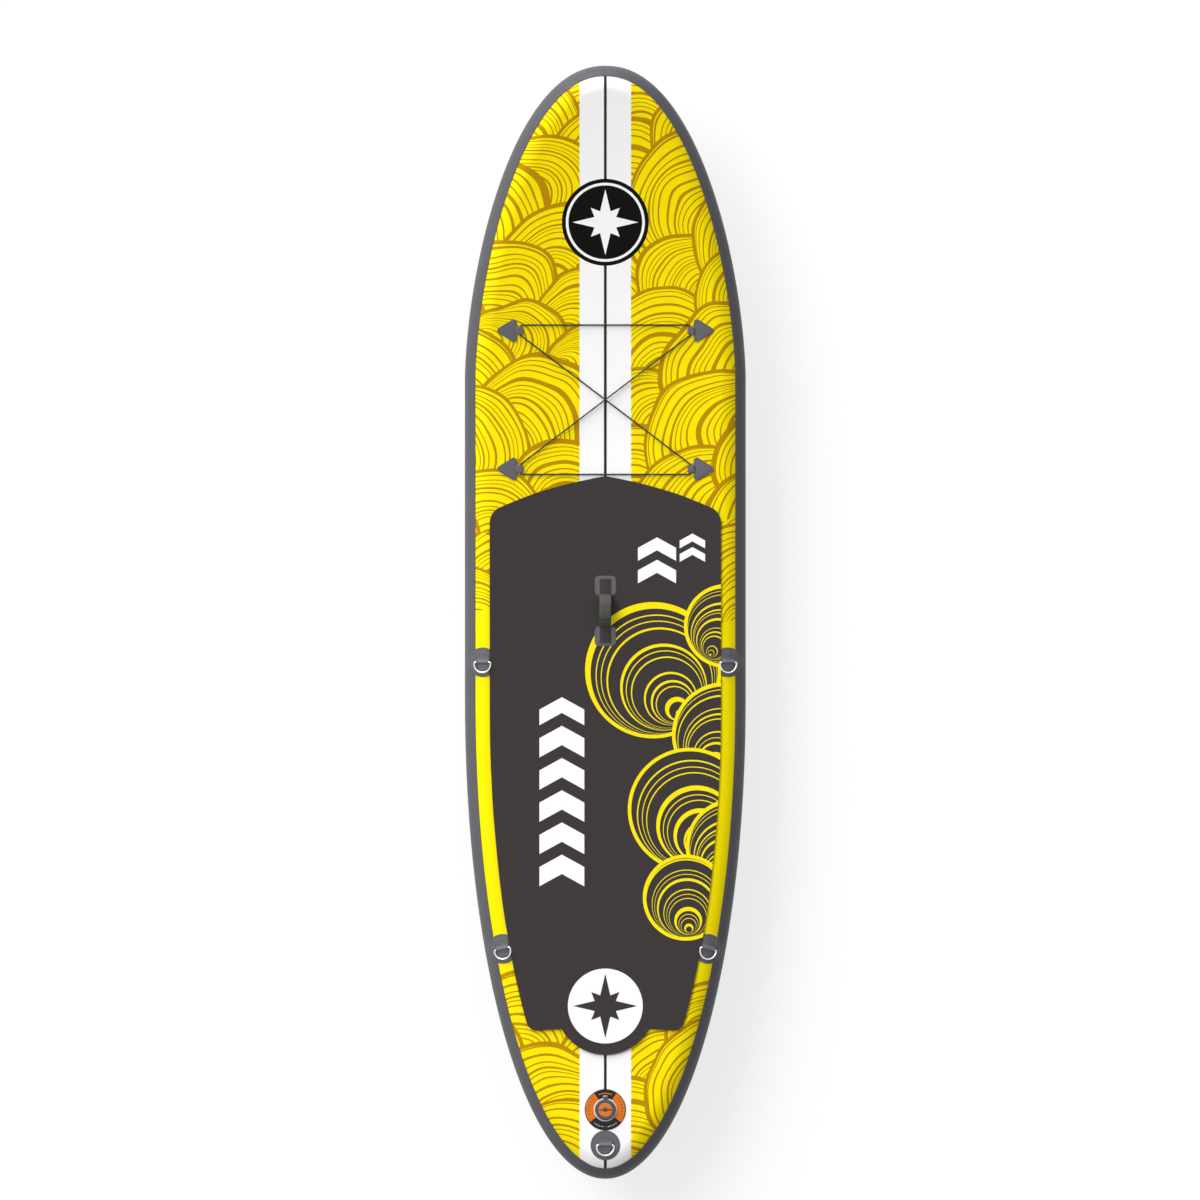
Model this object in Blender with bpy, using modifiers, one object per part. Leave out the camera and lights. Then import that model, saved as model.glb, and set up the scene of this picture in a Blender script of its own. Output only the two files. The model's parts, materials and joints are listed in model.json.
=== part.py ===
"""Inflatable stand-up paddle board, 2.97 m long, as separate sub-parts.

Metres, +Z up. +Y points to the nose and +X to the right of someone who stands on the deck.
The origin is the middle of the flat bottom of the hull.
"""

import math

import bmesh
import bpy
import numpy as np
from mathutils import Matrix, Vector

# Hull
LENGTH = 2.972
WIDTH = 0.750
THICKNESS = 0.150
NOSE_START = 0.650          # the outline runs straight from here to TAIL_START
TAIL_START = -0.200
NOSE_POWERS = (1.65, 2.15)  # of the super-ellipse: along the board, across it
TAIL_POWERS = (2.05, 2.00)
NOSE_ROCKER_START = 0.300
NOSE_RISE = 0.130
NOSE_ROCKER_POWER = 2.2
SIDE_RADIUS = 0.068         # how far the rounded side reaches inwards
SKIN = 0.0012               # coated fabric
GAP = 0.0003                # between pieces that touch
NOSE_STEPS = 12
STRAIGHT_STEPS = 4
TAIL_STEPS = 12
ANGLE_STEP = 15             # of the facets round the side, in degrees
SEAM_ANGLE = 30             # where the deck and bottom skins meet the inner sidewall
BAND_WIDTH = 0.0285         # of the rail band, seen from above

# Drop-stitch core
CORE_INSET = 0.085
CORE_SHEET = 0.0016
CORE_FRONT = 1.150
CORE_REAR = -1.100
YARN_WIDTH = 0.006
YARN_COLUMNS = (-0.195, -0.065, 0.065, 0.195)
YARN_ROWS = 12
YARN_PITCH = 0.180
YARN_FIRST = -0.980

# Deck pad
PAD_THICKNESS = 0.005
PAD_HALF_WIDTH = 0.3065
PAD_APEX = 0.390
PAD_REAR = -1.090
PAD_BULGE_CENTRE = -1.0427
PAD_BULGE_RADIUS = 0.115

# Carry handle
HANDLE_PATCH = (0.056, 0.052)
HANDLE_PATCH_CORNER = 0.010
HANDLE_PATCH_THICKNESS = 0.0056
HANDLE_FRONT = 0.0980
HANDLE_REAR = -0.0366
WEBBING_WIDTH = 0.0316
WEBBING = 0.0018
HANDLE_RISE = 0.031         # of the webbing's middle above its sewn ends
WEBBING_INSET = 0.026       # of the free webbing's ends from the middles of the patches
WEBBING_SEWN = 0.018        # how far the sewn ends reach past the middles of the patches
SPAN_WIDTH = 0.0276         # of the webbing inside the grip
LEG_FOOT = 0.03             # share of the webbing's arch where each leg starts
LEG_SHARE = 0.30            # share of the arch where each leg ends
LEG_SEAM = 0.012            # share of the arch between a leg and the middle stretch
CHANNEL_SHARE = 0.28        # share of the arch where the grip's channel starts
GRIP_SHARE = 0.34           # share of the arch where the grip starts
GRIP_THICKNESS = 0.0085
GRIP_EDGE = 0.0022

# D-ring sets: place of the bar, and the turn of the bar from straight across, in degrees
D_RINGS = {
    "front_right": (0.3265, -0.1065, 0.0),
    "front_left": (-0.3265, -0.1065, 0.0),
    "rear_right": (0.2737, -0.8715, -13.5),
    "rear_left": (-0.2737, -0.8715, 13.5),
    "tail": (0.0, -1.3960, 0.0),
}
PATCH_RADIUS = 0.0395
STRAP_RADIUS = 0.024
STRAP_LOOP_WIDTH = 0.035
RING_WIRE = 0.0046
RING_WIDTH = 0.0506
RING_DEPTH = 0.032
RING_CORNER = 0.0035
RING_REST_TILT = 2.0        # degrees that the ring hangs down from its bar to the patch
BAR_HEIGHT = 0.0026         # of the ring's bar above the strap
LOOP_RADIUS = 0.0044        # of the strap's loop round the bar, outside and inside
LOOP_BORE = 0.0028
LOOP_FOOT = 0.009           # how far the loop's solid reaches below the bar before it is cut

# Bungee
ANCHOR_ROWS = (0.7788, 0.4096)
ANCHOR_TAB_X = 0.2270
ANCHOR_TAB = (0.015, 0.020, 0.0064)
ANCHOR_TAB_OVERLAP = 0.004
ANCHOR_TAB_LIFT = 0.0005
ANCHOR_THICKNESS = 0.0024
ANCHOR_TIP = 0.2886         # places across the board of the arrow head's points
ANCHOR_SHOULDER = 0.2520
ANCHOR_BACK = 0.2345
ANCHOR_HALF_WIDTH = 0.0305
ANCHOR_BACK_HALF_WIDTH = 0.0160
ANCHOR_TIP_ROUND = 0.008
ANCHOR_SHOULDER_ROUND = 0.009
CORD_LIFT = 0.0036          # of the cord's middle above the anchors' underside
CORD = 0.004
CORD_BEND = 0.004
CORD_HUMP = 0.0023          # how far the strands part where they cross

# Valve: radii from its axis, and (low, high) heights from the deck's surface
VALVE_Y = -1.3014
LABEL_RADIUS = 0.055
LABEL = (0.0005, 0.0011)
GASKET_RADIUS = 0.0262
GASKET = (0.0004, 0.0014)
FLANGE_RADIUS = 0.0272
FLANGE = (0.0017, 0.0040)
NECK_RADIUS = 0.0215
NECK_DEPTH = 0.034
NECK_HOLE = 0.0225
BORE_RADIUS = 0.0165
NUT_RADIUS = 0.0300
NUT_HEIGHT = 0.008
NUT_NOTCH = (0.006, 0.007, 0.012)
NUT_NOTCH_RADIUS = 0.0310
HUB_RADIUS = 0.0065         # of the spider's hub, which guides the stem
HUB = (-0.0245, -0.0205)
ARM = (0.0150, 0.0034, 0.0034)
ARM_RADIUS = 0.0117
STEM_RADIUS = 0.0030
STEM = (-0.0400, -0.0030)
STEM_HEAD_RADIUS = 0.0080
STEM_HEAD = 0.0022
STEM_WASHER_RADIUS = 0.0060
STEM_FOOT_RADIUS = 0.0070
STEM_BAR = (0.0135, 0.0024, 0.0016)
SEAL_RADIUS = 0.0195
SEAL = 0.0021
SPRING_RADIUS = 0.0052
SPRING_WIRE = 0.0008
SPRING_TURNS = 4.5
COLLAR_RADIUS = 0.031
COLLAR = (0.0014, 0.0036)
COLLAR_LUG = (0.0120, 0.0060, 0.0038)
CAP_RADIUS = 0.028
CAP = (0.0045, 0.0105)
CAP_HINGE = 0.0365          # distance of the cap's hinge from the valve's axis
CAP_HINGE_HEIGHT = 0.0054
CAP_EAR = (0.0116, 0.0100, 0.0030)
PLUG_RADIUS = 0.0150
PLUG_LOW = -0.0016

# Fins
FIN_DEPTH = 0.115
FIN_BOX_MIDDLE = -1.070
FIN_BOX = (0.046, 0.250, 0.022)
FIN_BOX_CORNER = 0.016
FIN_PATCH_BORDER = 0.025
FIN_SLOT = (0.0100, 0.214, 0.0190)
FIN_GROOVE = (0.0168, 0.212, 0.0056)    # for the fin's pin and plate
FIN_GROOVE_HEIGHT = 0.0110              # of its middle above the slot's mouth
CENTRE_FIN_BASE = 0.134
CENTRE_FIN_THICKNESS = 0.0070
FIN_TAB_LENGTH = 0.150
FIN_LUG = (0.024, 0.0045)               # length and height
FIN_PIN_RADIUS = 0.0024
FIN_PIN_LENGTH = 0.0156
FIN_PIN_INSET = 0.010
FIN_PLATE = (0.0156, 0.012, 0.0030)
SHANK_RADIUS = 0.0020
SHANK_TOP = 0.0024
SCREW_HEAD_RADIUS = 0.0070
SCREW_HEAD = 0.0060
SIDE_FIN_X = 0.155
SIDE_FIN_Y = -0.960
SIDE_FIN_BASE = 0.125
SIDE_FIN_THICKNESS = 0.0060
SIDE_FOOT = (0.046, 0.165, 0.0040)
SIDE_RIDGE = (0.0150, 0.135, 0.0120)
SIDE_SLOT_DEPTH = 0.0040

COLOURS = {                 # colour, roughness, metallic
    "yellow": ((1.0, 0.82, 0.0), 0.35, 0.0),
    "grey": ((0.13, 0.13, 0.14), 0.45, 0.0),
    "white": ((0.80, 0.80, 0.80), 0.45, 0.0),
    "yarn": ((0.75, 0.74, 0.70), 0.90, 0.0),
    "foam": ((0.045, 0.037, 0.037), 0.90, 0.0),
    "webbing": ((0.05, 0.05, 0.05), 0.85, 0.0),
    "neoprene": ((0.08, 0.08, 0.075), 0.80, 0.0),
    "steel": ((0.75, 0.75, 0.76), 0.22, 1.0),
    "elastic": ((0.03, 0.03, 0.03), 0.70, 0.0),
    "rubber": ((0.03, 0.03, 0.03), 0.60, 0.0),
    "label": ((0.01, 0.01, 0.01), 0.50, 0.0),
    "brass": ((0.70, 0.52, 0.22), 0.30, 1.0),
    "black_plastic": ((0.02, 0.02, 0.02), 0.40, 0.0),
}

SHARP_ANGLE = 38            # degrees over which an edge stays sharp

# Turns a profile so that its X runs along the board, its Y up and its thickness across
ON_EDGE = Matrix(((0, 0, 1, 0), (1, 0, 0, 0), (0, 1, 0, 0), (0, 0, 0, 1)))

for old in list(bpy.data.objects):
    bpy.data.objects.remove(old, do_unlink=True)

BOARD = bpy.data.collections.new("inflatable_paddle_board")
CUTTERS = bpy.data.collections.new("cutters")
bpy.context.scene.collection.children.link(BOARD)
bpy.context.scene.collection.children.link(CUTTERS)


# Small tools

def material(name, kind):
    """A Principled material of the part's own, named after it."""
    colour, roughness, metallic = COLOURS[kind]
    made = bpy.data.materials.new(name)
    made.use_nodes = True
    shader = made.node_tree.nodes["Principled BSDF"]
    shader.inputs["Base Color"].default_value = (*colour, 1.0)
    shader.inputs["Roughness"].default_value = roughness
    shader.inputs["Metallic"].default_value = metallic
    return made


def part(name, data, kind, parent=None):
    """Add a sub-part made of the mesh or curve."""
    made = bpy.data.objects.new(name, data)
    data.materials.clear()
    data.materials.append(material(name, kind))
    BOARD.objects.link(made)
    made.parent = parent
    return made


def cutter(name, mesh, parent=None):
    """Add a mesh that cuts or joins, which is not a sub-part."""
    made = bpy.data.objects.new(name, mesh)
    CUTTERS.objects.link(made)
    made.hide_render = True
    made.display_type = "WIRE"
    made.parent = parent
    return made


def smooth_mesh(name, bm):
    """Turn a bmesh, whose normals are right already, into a smooth-shaded mesh."""
    mesh = bpy.data.meshes.new(name)
    bm.to_mesh(mesh)
    bm.free()
    mesh.shade_smooth()
    mesh.set_sharp_from_angle(angle=math.radians(SHARP_ANGLE))
    return mesh


def to_mesh(name, bm):
    """Turn a closed bmesh into a smooth-shaded mesh whose faces point out."""
    bmesh.ops.recalc_face_normals(bm, faces=bm.faces)
    return smooth_mesh(name, bm)


def solid(name, bm, kind, parent=None):
    """Add a sub-part made of a closed bmesh."""
    return part(name, to_mesh(name, bm), kind, parent)


def tool(name, bm, parent=None):
    """Add a cutter made of a closed bmesh."""
    return cutter(name, to_mesh(name, bm), parent)


def axis(name, place, parent=None):
    """Add an empty that pieces are placed and turned about."""
    made = bpy.data.objects.new(name, None)
    BOARD.objects.link(made)
    made.location = place
    made.parent = parent
    return made


def everything(bm):
    """All of a bmesh's geometry, as a cut takes it."""
    return list(bm.verts) + list(bm.edges) + list(bm.faces)


def boolean(target, other, operation="DIFFERENCE"):
    """Cut, join or intersect the target with the other object."""
    modifier = target.modifiers.new(other.name, "BOOLEAN")
    modifier.operation = operation
    modifier.solver = "EXACT"
    modifier.object = other
    return modifier


def solidify(target, thickness, offset):
    """Thicken an open surface: offset 1 adds outwards and -1 inwards."""
    modifier = target.modifiers.new("thickness", "SOLIDIFY")
    modifier.thickness = thickness
    modifier.offset = offset
    modifier.use_even_offset = True
    return modifier


def bevel(target, width, segments=1, angle=40):
    """Round the sharp edges."""
    modifier = target.modifiers.new("bevel", "BEVEL")
    modifier.width = width
    modifier.segments = segments
    modifier.limit_method = "ANGLE"
    modifier.angle_limit = math.radians(angle)
    return modifier


def mirror(target):
    """Complete a half that is open at the middle plane."""
    modifier = target.modifiers.new("mirror", "MIRROR")
    modifier.merge_threshold = 0.0001
    return modifier


def box(size, centre, turn=0.0):
    """A bmesh box of the size, about the centre, turned about Z by degrees."""
    bm = bmesh.new()
    place = Matrix.Translation(centre) @ Matrix.Rotation(math.radians(turn), 4, "Z")
    bmesh.ops.create_cube(bm, size=1.0, matrix=place @ Matrix.Diagonal((*size, 1.0)))
    return bm


def rod(radius, start, end, sides=24):
    """A bmesh cylinder from one point to the other."""
    start, end = Vector(start), Vector(end)
    along = end - start
    turn = along.to_track_quat("Z", "Y").to_matrix().to_4x4()
    bm = bmesh.new()
    bmesh.ops.create_cone(
        bm, cap_ends=True, segments=sides, radius1=radius, radius2=radius,
        depth=along.length, matrix=Matrix.Translation((start + end) / 2) @ turn,
    )
    return bm


def turned(name, profile, kind, parent, sides=28):
    """A turned sub-part: a closed profile of (radius, height) points round Z."""
    bm = bmesh.new()
    corners = [bm.verts.new((radius, 0.0, height)) for radius, height in profile]
    for first, second in zip(corners, corners[1:] + corners[:1]):
        if first.co.x > 0 or second.co.x > 0:
            bm.edges.new((first, second))
    mesh = bpy.data.meshes.new(name)
    bm.to_mesh(mesh)
    bm.free()
    made = part(name, mesh, kind, parent)
    screw = made.modifiers.new("turn", "SCREW")
    screw.steps = sides
    screw.render_steps = sides
    screw.use_merge_vertices = True
    screw.merge_threshold = 0.0001
    return made


def tube(name, points, diameter, kind, closed=False, resolution=2, parent=None):
    """A round wire or cord along the points."""
    curve = bpy.data.curves.new(name, "CURVE")
    curve.dimensions = "3D"
    curve.bevel_depth = diameter / 2
    curve.bevel_resolution = resolution
    curve.use_fill_caps = not closed
    spline = curve.splines.new("POLY")
    spline.points.add(len(points) - 1)
    for slot, point in zip(spline.points, points):
        slot.co = (*point, 1.0)
    spline.use_cyclic_u = closed
    return part(name, curve, kind, parent)


def plate(loops, thickness, low):
    """A bmesh plate with the flat outlines, from the height low upwards."""
    curve = bpy.data.curves.new("plate", "CURVE")
    curve.dimensions = "2D"
    curve.fill_mode = "BOTH"
    curve.extrude = thickness / 2
    for loop in loops:
        spline = curve.splines.new("POLY")
        spline.points.add(len(loop) - 1)
        for slot, (x, y) in zip(spline.points, loop):
            slot.co = (x, y, 0.0, 1.0)
        spline.use_cyclic_u = True
    drawn = bpy.data.objects.new("plate", curve)
    bpy.context.scene.collection.objects.link(drawn)
    graph = bpy.context.evaluated_depsgraph_get()
    mesh = bpy.data.meshes.new_from_object(drawn.evaluated_get(graph))
    bpy.data.objects.remove(drawn, do_unlink=True)
    bm = bmesh.new()
    bm.from_mesh(mesh)
    bmesh.ops.remove_doubles(bm, verts=bm.verts, dist=0.00005)
    bmesh.ops.translate(bm, verts=bm.verts, vec=(0.0, 0.0, low + thickness / 2))
    return bm


def arc(centre, radius, first, last, steps):
    """Points on a circle, from the first to the last angle in degrees."""
    angles = [math.radians(first + (last - first) * i / steps) for i in range(steps + 1)]
    return [(centre[0] + radius * math.cos(a), centre[1] + radius * math.sin(a)) for a in angles]


def rounded_box(size, centre, corner, steps=4):
    """The outline of a rectangle with round corners."""
    points = []
    for quarter, (sx, sy) in enumerate(((1, 1), (-1, 1), (-1, -1), (1, -1))):
        middle = (centre[0] + sx * (size[0] / 2 - corner), centre[1] + sy * (size[1] / 2 - corner))
        points += arc(middle, corner, 90 * quarter, 90 * quarter + 90, steps)
    return points


# The hull's surface

def rocker(y):
    """How far the bottom lies above its flat middle."""
    if y > NOSE_ROCKER_START:
        part_way = (y - NOSE_ROCKER_START) / (LENGTH / 2 - NOSE_ROCKER_START)
        return NOSE_RISE * part_way ** NOSE_ROCKER_POWER
    return 0.0


def outline():
    """Stations on the right edge of the skins, tail to nose: x, y and the outward normal."""
    proud = SKIN + GAP
    half = WIDTH / 2 - proud
    stations = []

    def end(steps, start, tip, powers, sign):
        reach = abs(tip - start)
        along, across = powers
        for i in range(steps + 1):
            t = math.pi / 2 * i / steps
            s = math.sin(t) ** (2 / along)
            c = max(math.cos(t), 0.0) ** (2 / across) if i < steps else 0.0
            normal = Vector((
                across / half * c ** (across - 1),
                sign * along / reach * s ** (along - 1),
            )).normalized()
            stations.append((half * c, start + sign * reach * s, normal.x, normal.y))

    end(TAIL_STEPS, TAIL_START, -LENGTH / 2 + proud, TAIL_POWERS, -1)
    stations.reverse()
    for i in range(1, STRAIGHT_STEPS):
        y = TAIL_START + (NOSE_START - TAIL_START) * i / STRAIGHT_STEPS
        stations.append((half, y, 1.0, 0.0))
    end(NOSE_STEPS, NOSE_START, LENGTH / 2 - proud, NOSE_POWERS, 1)
    return stations


STATIONS = outline()
DECK_LINES = sorted(y - ny * SIDE_RADIUS for _, y, _, ny in STATIONS)
CREASES = [
    middle for before, middle, after in zip(DECK_LINES, DECK_LINES[1:], DECK_LINES[2:])
    if rocker(before) or rocker(after)
]


def deck_line_rocker(y):
    """The rocker as the straight facets between the deck's cross lines have it."""
    return float(np.interp(y, DECK_LINES, [rocker(line) for line in DECK_LINES]))


def section(angle, grow):
    """Inset from the edge and height of the side's facets at an angle, grown outwards."""
    def corner(degrees):
        a = math.radians(degrees)
        return (
            SIDE_RADIUS - (SIDE_RADIUS + grow) * math.cos(a),
            THICKNESS / 2 + (THICKNESS / 2 + grow) * math.sin(a),
        )

    low = math.floor(angle / ANGLE_STEP) * ANGLE_STEP
    if low == angle:
        return corner(angle)
    share = (angle - low) / ANGLE_STEP
    a, b = corner(low), corner(low + ANGLE_STEP)
    return (a[0] + (b[0] - a[0]) * share, a[1] + (b[1] - a[1]) * share)


def hull_surface(rows, to_middle):
    """An open surface over the right half: rows of (angle, grow), then the middle line."""
    bm = bmesh.new()
    lines = []
    for angle, grow in rows:
        inset, height = section(angle, grow)
        line = []
        for x, y, nx, ny in STATIONS:
            place_y = y - ny * inset
            place_x = max(x - nx * inset, 0.0)
            line.append(bm.verts.new((place_x, place_y, height + rocker(place_y))))
        lines.append(line)
    if to_middle:
        lines.append([bm.verts.new((0.0, v.co.y, v.co.z)) for v in lines[-1]])
    for first, second in zip(lines, lines[1:]):
        for i in range(len(STATIONS) - 1):
            bm.faces.new((first[i], first[i + 1], second[i + 1], second[i]))
    bmesh.ops.remove_doubles(bm, verts=bm.verts, dist=0.00002)
    bmesh.ops.recalc_face_normals(bm, faces=bm.faces)
    upward = sum(face.normal.z * face.calc_area() for face in bm.faces)
    outward = sum(face.normal.x * face.calc_area() for face in bm.faces)
    if to_middle:
        right_way = upward * rows[-1][0] > 0
    else:
        right_way = outward > 0
    if not right_way:
        bmesh.ops.reverse_faces(bm, faces=bm.faces)
    return bm


def lattice(first, last):
    """Angles of the facets' edges from the first to the last, both included."""
    step = -ANGLE_STEP if last < first else ANGLE_STEP
    inside = [a for a in range(-90, 91, ANGLE_STEP) if min(first, last) < a < max(first, last)]
    return [first] + sorted(inside, reverse=step < 0) + [last]


def skin(name, sign, kind):
    """The deck skin (sign 1) or the bottom skin (sign -1)."""
    rows = [(sign * angle, 0.0) for angle in lattice(SEAM_ANGLE, 90)]
    made = part(name, smooth_mesh(name, hull_surface(rows, True)), kind)
    mirror(made)
    solidify(made, SKIN, -1)
    return made


def side_strip(name, rows, sign, kind, offset):
    """A strip along one side of the hull, from the tail's middle to the nose's."""
    bm = hull_surface(rows, False)
    for vert in bm.verts:
        vert.co.x = max(vert.co.x, GAP)
    if sign < 0:
        bmesh.ops.scale(bm, vec=(-1.0, 1.0, 1.0), verts=bm.verts)
        bmesh.ops.reverse_faces(bm, faces=bm.faces)
    made = part(name, smooth_mesh(name, bm), kind)
    solidify(made, SKIN, offset)
    return made


BAND_ANGLE = math.degrees(math.acos(1 - (BAND_WIDTH - SKIN - GAP) / SIDE_RADIUS))
SEAM_CLEARANCE = math.degrees(2 * GAP / (THICKNESS / 2))

deck_skin = skin("deck_skin", 1, "yellow")
skin("bottom_skin", -1, "white")
for side_name, side in (("right", 1), ("left", -1)):
    seam = SEAM_ANGLE - SEAM_CLEARANCE
    wall = [(a, 0.0) for a in lattice(seam, -seam)]
    side_strip(f"inner_sidewall_{side_name}", wall, side, "grey", -1)
    band = [(a, GAP) for a in lattice(BAND_ANGLE, -BAND_ANGLE)]
    side_strip(f"rail_band_{side_name}", band, side, "grey", 1)


def settle(bm):
    """Lay a flat piece on the hull: crease it at the deck's cross lines and lift it."""
    low = min(v.co.y for v in bm.verts)
    high = max(v.co.y for v in bm.verts)
    for line in CREASES:
        if low < line < high:
            bmesh.ops.bisect_plane(
                bm, geom=everything(bm), plane_co=(0, line, 0), plane_no=(0, 1, 0), dist=1e-6,
            )
    for vert in bm.verts:
        vert.co.z += deck_line_rocker(vert.co.y)
    return bm


# Drop-stitch core

def core():
    """The yarn bundles that tie the deck to the bottom, on a base cloth under the deck skin."""
    rows = [(90, 0.0)]
    bm = hull_surface(rows, True)
    under = SKIN + GAP
    for vert in bm.verts:
        if vert.co.x > 0:
            vert.co.x = max(vert.co.x - (CORE_INSET - SIDE_RADIUS), 0.0)
        vert.co.z -= under
    for line, facing in ((CORE_FRONT, 1), (CORE_REAR, -1)):
        bmesh.ops.bisect_plane(
            bm, geom=everything(bm), plane_co=(0, line, 0), plane_no=(0, facing, 0), clear_outer=True,
        )
    made = part("drop_stitch_core", smooth_mesh("drop_stitch_core", bm), "yarn")
    mirror(made)
    solidify(made, CORE_SHEET, -1)
    yarns = bmesh.new()
    top = THICKNESS - under - CORE_SHEET / 2
    bottom = under + GAP
    for row in range(YARN_ROWS):
        y = YARN_FIRST + row * YARN_PITCH
        for x in YARN_COLUMNS:
            size = Matrix.Diagonal((YARN_WIDTH, YARN_WIDTH, top - bottom, 1.0))
            place = Matrix.Translation((x, y, (top + bottom) / 2))
            bmesh.ops.create_cube(yarns, size=1.0, matrix=place @ size)
    for vert in yarns.verts:
        vert.co.z += deck_line_rocker(vert.co.y)
    boolean(made, tool("yarns", yarns), "UNION")


core()


# Deck pad

def pad_side():
    """Right half of the pad's outline, from the apex to the middle of the round tail end."""
    points = [(0.0, PAD_APEX), (0.0355, 0.3826), (0.121, 0.361), (0.174, 0.345), (0.228, 0.324)]
    points += arc((PAD_HALF_WIDTH - 0.040, 0.266), 0.040, 68, 0, 5)
    points += [(PAD_HALF_WIDTH, -0.314), (0.301, -0.421), (0.296, -0.528), (0.285, -0.635)]
    points += [(0.269, -0.7415), (0.249, -0.902), (0.225, -0.982), (0.2145, -1.035)]
    points += arc((0.190, PAD_REAR + 0.016), 0.016, 10, -90, 4)
    reach = PAD_BULGE_CENTRE - PAD_REAR
    start = math.degrees(math.asin(reach / PAD_BULGE_RADIUS))
    points += arc((0.0, PAD_BULGE_CENTRE), PAD_BULGE_RADIUS, -start, -90, 8)
    return points


def pad_edge(y):
    """The pad's right edge at a place along the board."""
    side_points = [p for p in pad_side() if p[0] > 0.2]
    side_points.reverse()
    return float(np.interp(y, [p[1] for p in side_points], [p[0] for p in side_points]))


def deck_pad():
    """The foam pad, with a window for each handle patch."""
    right = pad_side()
    loop = right + [(-x, y) for x, y in reversed(right[1:-1])]
    window = tuple(side + 4 * GAP for side in HANDLE_PATCH)
    corner = HANDLE_PATCH_CORNER + 2 * GAP
    windows = [rounded_box(window, (0.0, y), corner) for y in (HANDLE_FRONT, HANDLE_REAR)]
    bm = settle(plate([loop] + windows, PAD_THICKNESS, THICKNESS + GAP))
    solid("deck_pad", bm, "foam")


deck_pad()


# Carry handle

HANDLE_MIDDLE = (HANDLE_FRONT + HANDLE_REAR) / 2
HANDLE_SPAN = HANDLE_FRONT - HANDLE_REAR - 2 * WEBBING_INSET
HANDLE_HEIGHT = THICKNESS + GAP + HANDLE_PATCH_THICKNESS + GAP + WEBBING / 2
HANDLE = axis("handle_axis", (0.0, HANDLE_MIDDLE, HANDLE_HEIGHT))


def webbing_path(first, last, steps):
    """Points (y, z) about the handle's axis, from one share of the webbing's arch to another."""
    points = []
    for i in range(steps + 1):
        a = math.pi * (first + (last - first) * i / steps)
        flat = abs(math.cos(a)) ** 0.85 * math.copysign(1.0, math.cos(a))
        points.append((HANDLE_SPAN / 2 * flat, HANDLE_RISE * math.sin(a) ** 0.9))
    return points


def strip(name, path, width):
    """The open surface of a strap, as wide as given along X, on a path of (y, z) points."""
    bm = bmesh.new()
    rows = [[bm.verts.new((x, y, z)) for x in (-width / 2, width / 2)] for y, z in path]
    for a, b in zip(rows, rows[1:]):
        bm.faces.new((a[0], a[1], b[1], b[0]))
    return smooth_mesh(name, bm)


def strap(name, path, width, thickness, kind):
    """A flat strap about the handle's axis."""
    made = part(name, strip(name, path, width), kind, HANDLE)
    solidify(made, thickness, 0)
    return made


def handle_end(name, y, facing, shares):
    """A patch, the webbing's sewn end on it and the leg that rises from it."""
    patch = rounded_box(HANDLE_PATCH, (0.0, y), HANDLE_PATCH_CORNER)
    solid(f"handle_patch_{name}", plate([patch], HANDLE_PATCH_THICKNESS, THICKNESS + GAP), "grey")
    inner = facing * (HANDLE_SPAN / 2 + WEBBING)
    outer = y - HANDLE_MIDDLE + facing * WEBBING_SEWN
    sewn = [(inner, 0.0), ((inner + outer) / 2, 0.0), (outer, 0.0)]
    strap(f"handle_webbing_sewn_{name}", sewn, WEBBING_WIDTH, WEBBING, "webbing")
    strap(f"handle_webbing_leg_{name}", webbing_path(*shares, 5), WEBBING_WIDTH, WEBBING, "webbing")


def handle_grip():
    """The webbing's middle stretch in its padded grip, which swing together."""
    start = LEG_SHARE + LEG_SEAM
    span = webbing_path(start, 1 - start, 6)
    strap("handle_webbing_span", span, SPAN_WIDTH, WEBBING, "webbing")
    grip_path = webbing_path(GRIP_SHARE, 1 - GRIP_SHARE, 6)
    grip = strap("handle_grip", grip_path, WEBBING_WIDTH, GRIP_THICKNESS, "neoprene")
    bevel(grip, GRIP_EDGE, 2)
    channel_path = webbing_path(CHANNEL_SHARE, 1 - CHANNEL_SHARE, 8)
    channel = cutter("grip_channel", strip("grip_channel", channel_path, SPAN_WIDTH + 2 * GAP), HANDLE)
    solidify(channel, WEBBING + 2 * GAP, 0)
    boolean(grip, channel)


handle_end("front", HANDLE_FRONT, 1, (LEG_FOOT, LEG_SHARE))
handle_end("rear", HANDLE_REAR, -1, (1 - LEG_SHARE, 1 - LEG_FOOT))
handle_grip()


# D-ring sets

BAND_OUT = 2 * GAP + SKIN   # how far a piece over the rail band starts from the skin
BAND_EDGE = math.degrees(2.5 * GAP / (THICKNESS / 2))
BAND_RUN_OUT = 4.0          # degrees in which a patch comes down from the band to the skin


def cover_rows(lift):
    """Rows of a layer that lies on the hull's side and deck, over the edge of the rail band."""
    over = [(a, BAND_OUT + lift) for a in lattice(0, BAND_ANGLE + BAND_EDGE)]
    down = BAND_ANGLE + BAND_EDGE + BAND_RUN_OUT
    return over + [(a, GAP + lift) for a in lattice(down, 90)]


def cover(name, lift, thickness, offset):
    """A layer over the whole upper side, from which patches are cut."""
    mesh = smooth_mesh(name, hull_surface(cover_rows(lift), True))
    made = cutter(name, mesh)
    mirror(made)
    solidify(made, thickness, offset)
    return made


def cover_height(x, y):
    """Height of the underside of a layer that lies on the hull."""
    insets, heights = zip(*(section(a, g) for a, g in cover_rows(0.0)))
    return float(np.interp(edge_distance(x, y), insets, heights)) + deck_line_rocker(y)


def edge_distance(x, y):
    """Distance of a point of the plan inside the skins' outline."""
    best = 9.0
    for (ax, ay, _, _), (bx, by, _, _) in zip(STATIONS, STATIONS[1:]):
        a, b, p = Vector((ax, ay)), Vector((bx, by)), Vector((abs(x), y))
        along = b - a
        share = min(max((p - a).dot(along) / along.length_squared, 0.0), 1.0)
        best = min(best, (p - a - along * share).length)
    return best


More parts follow.
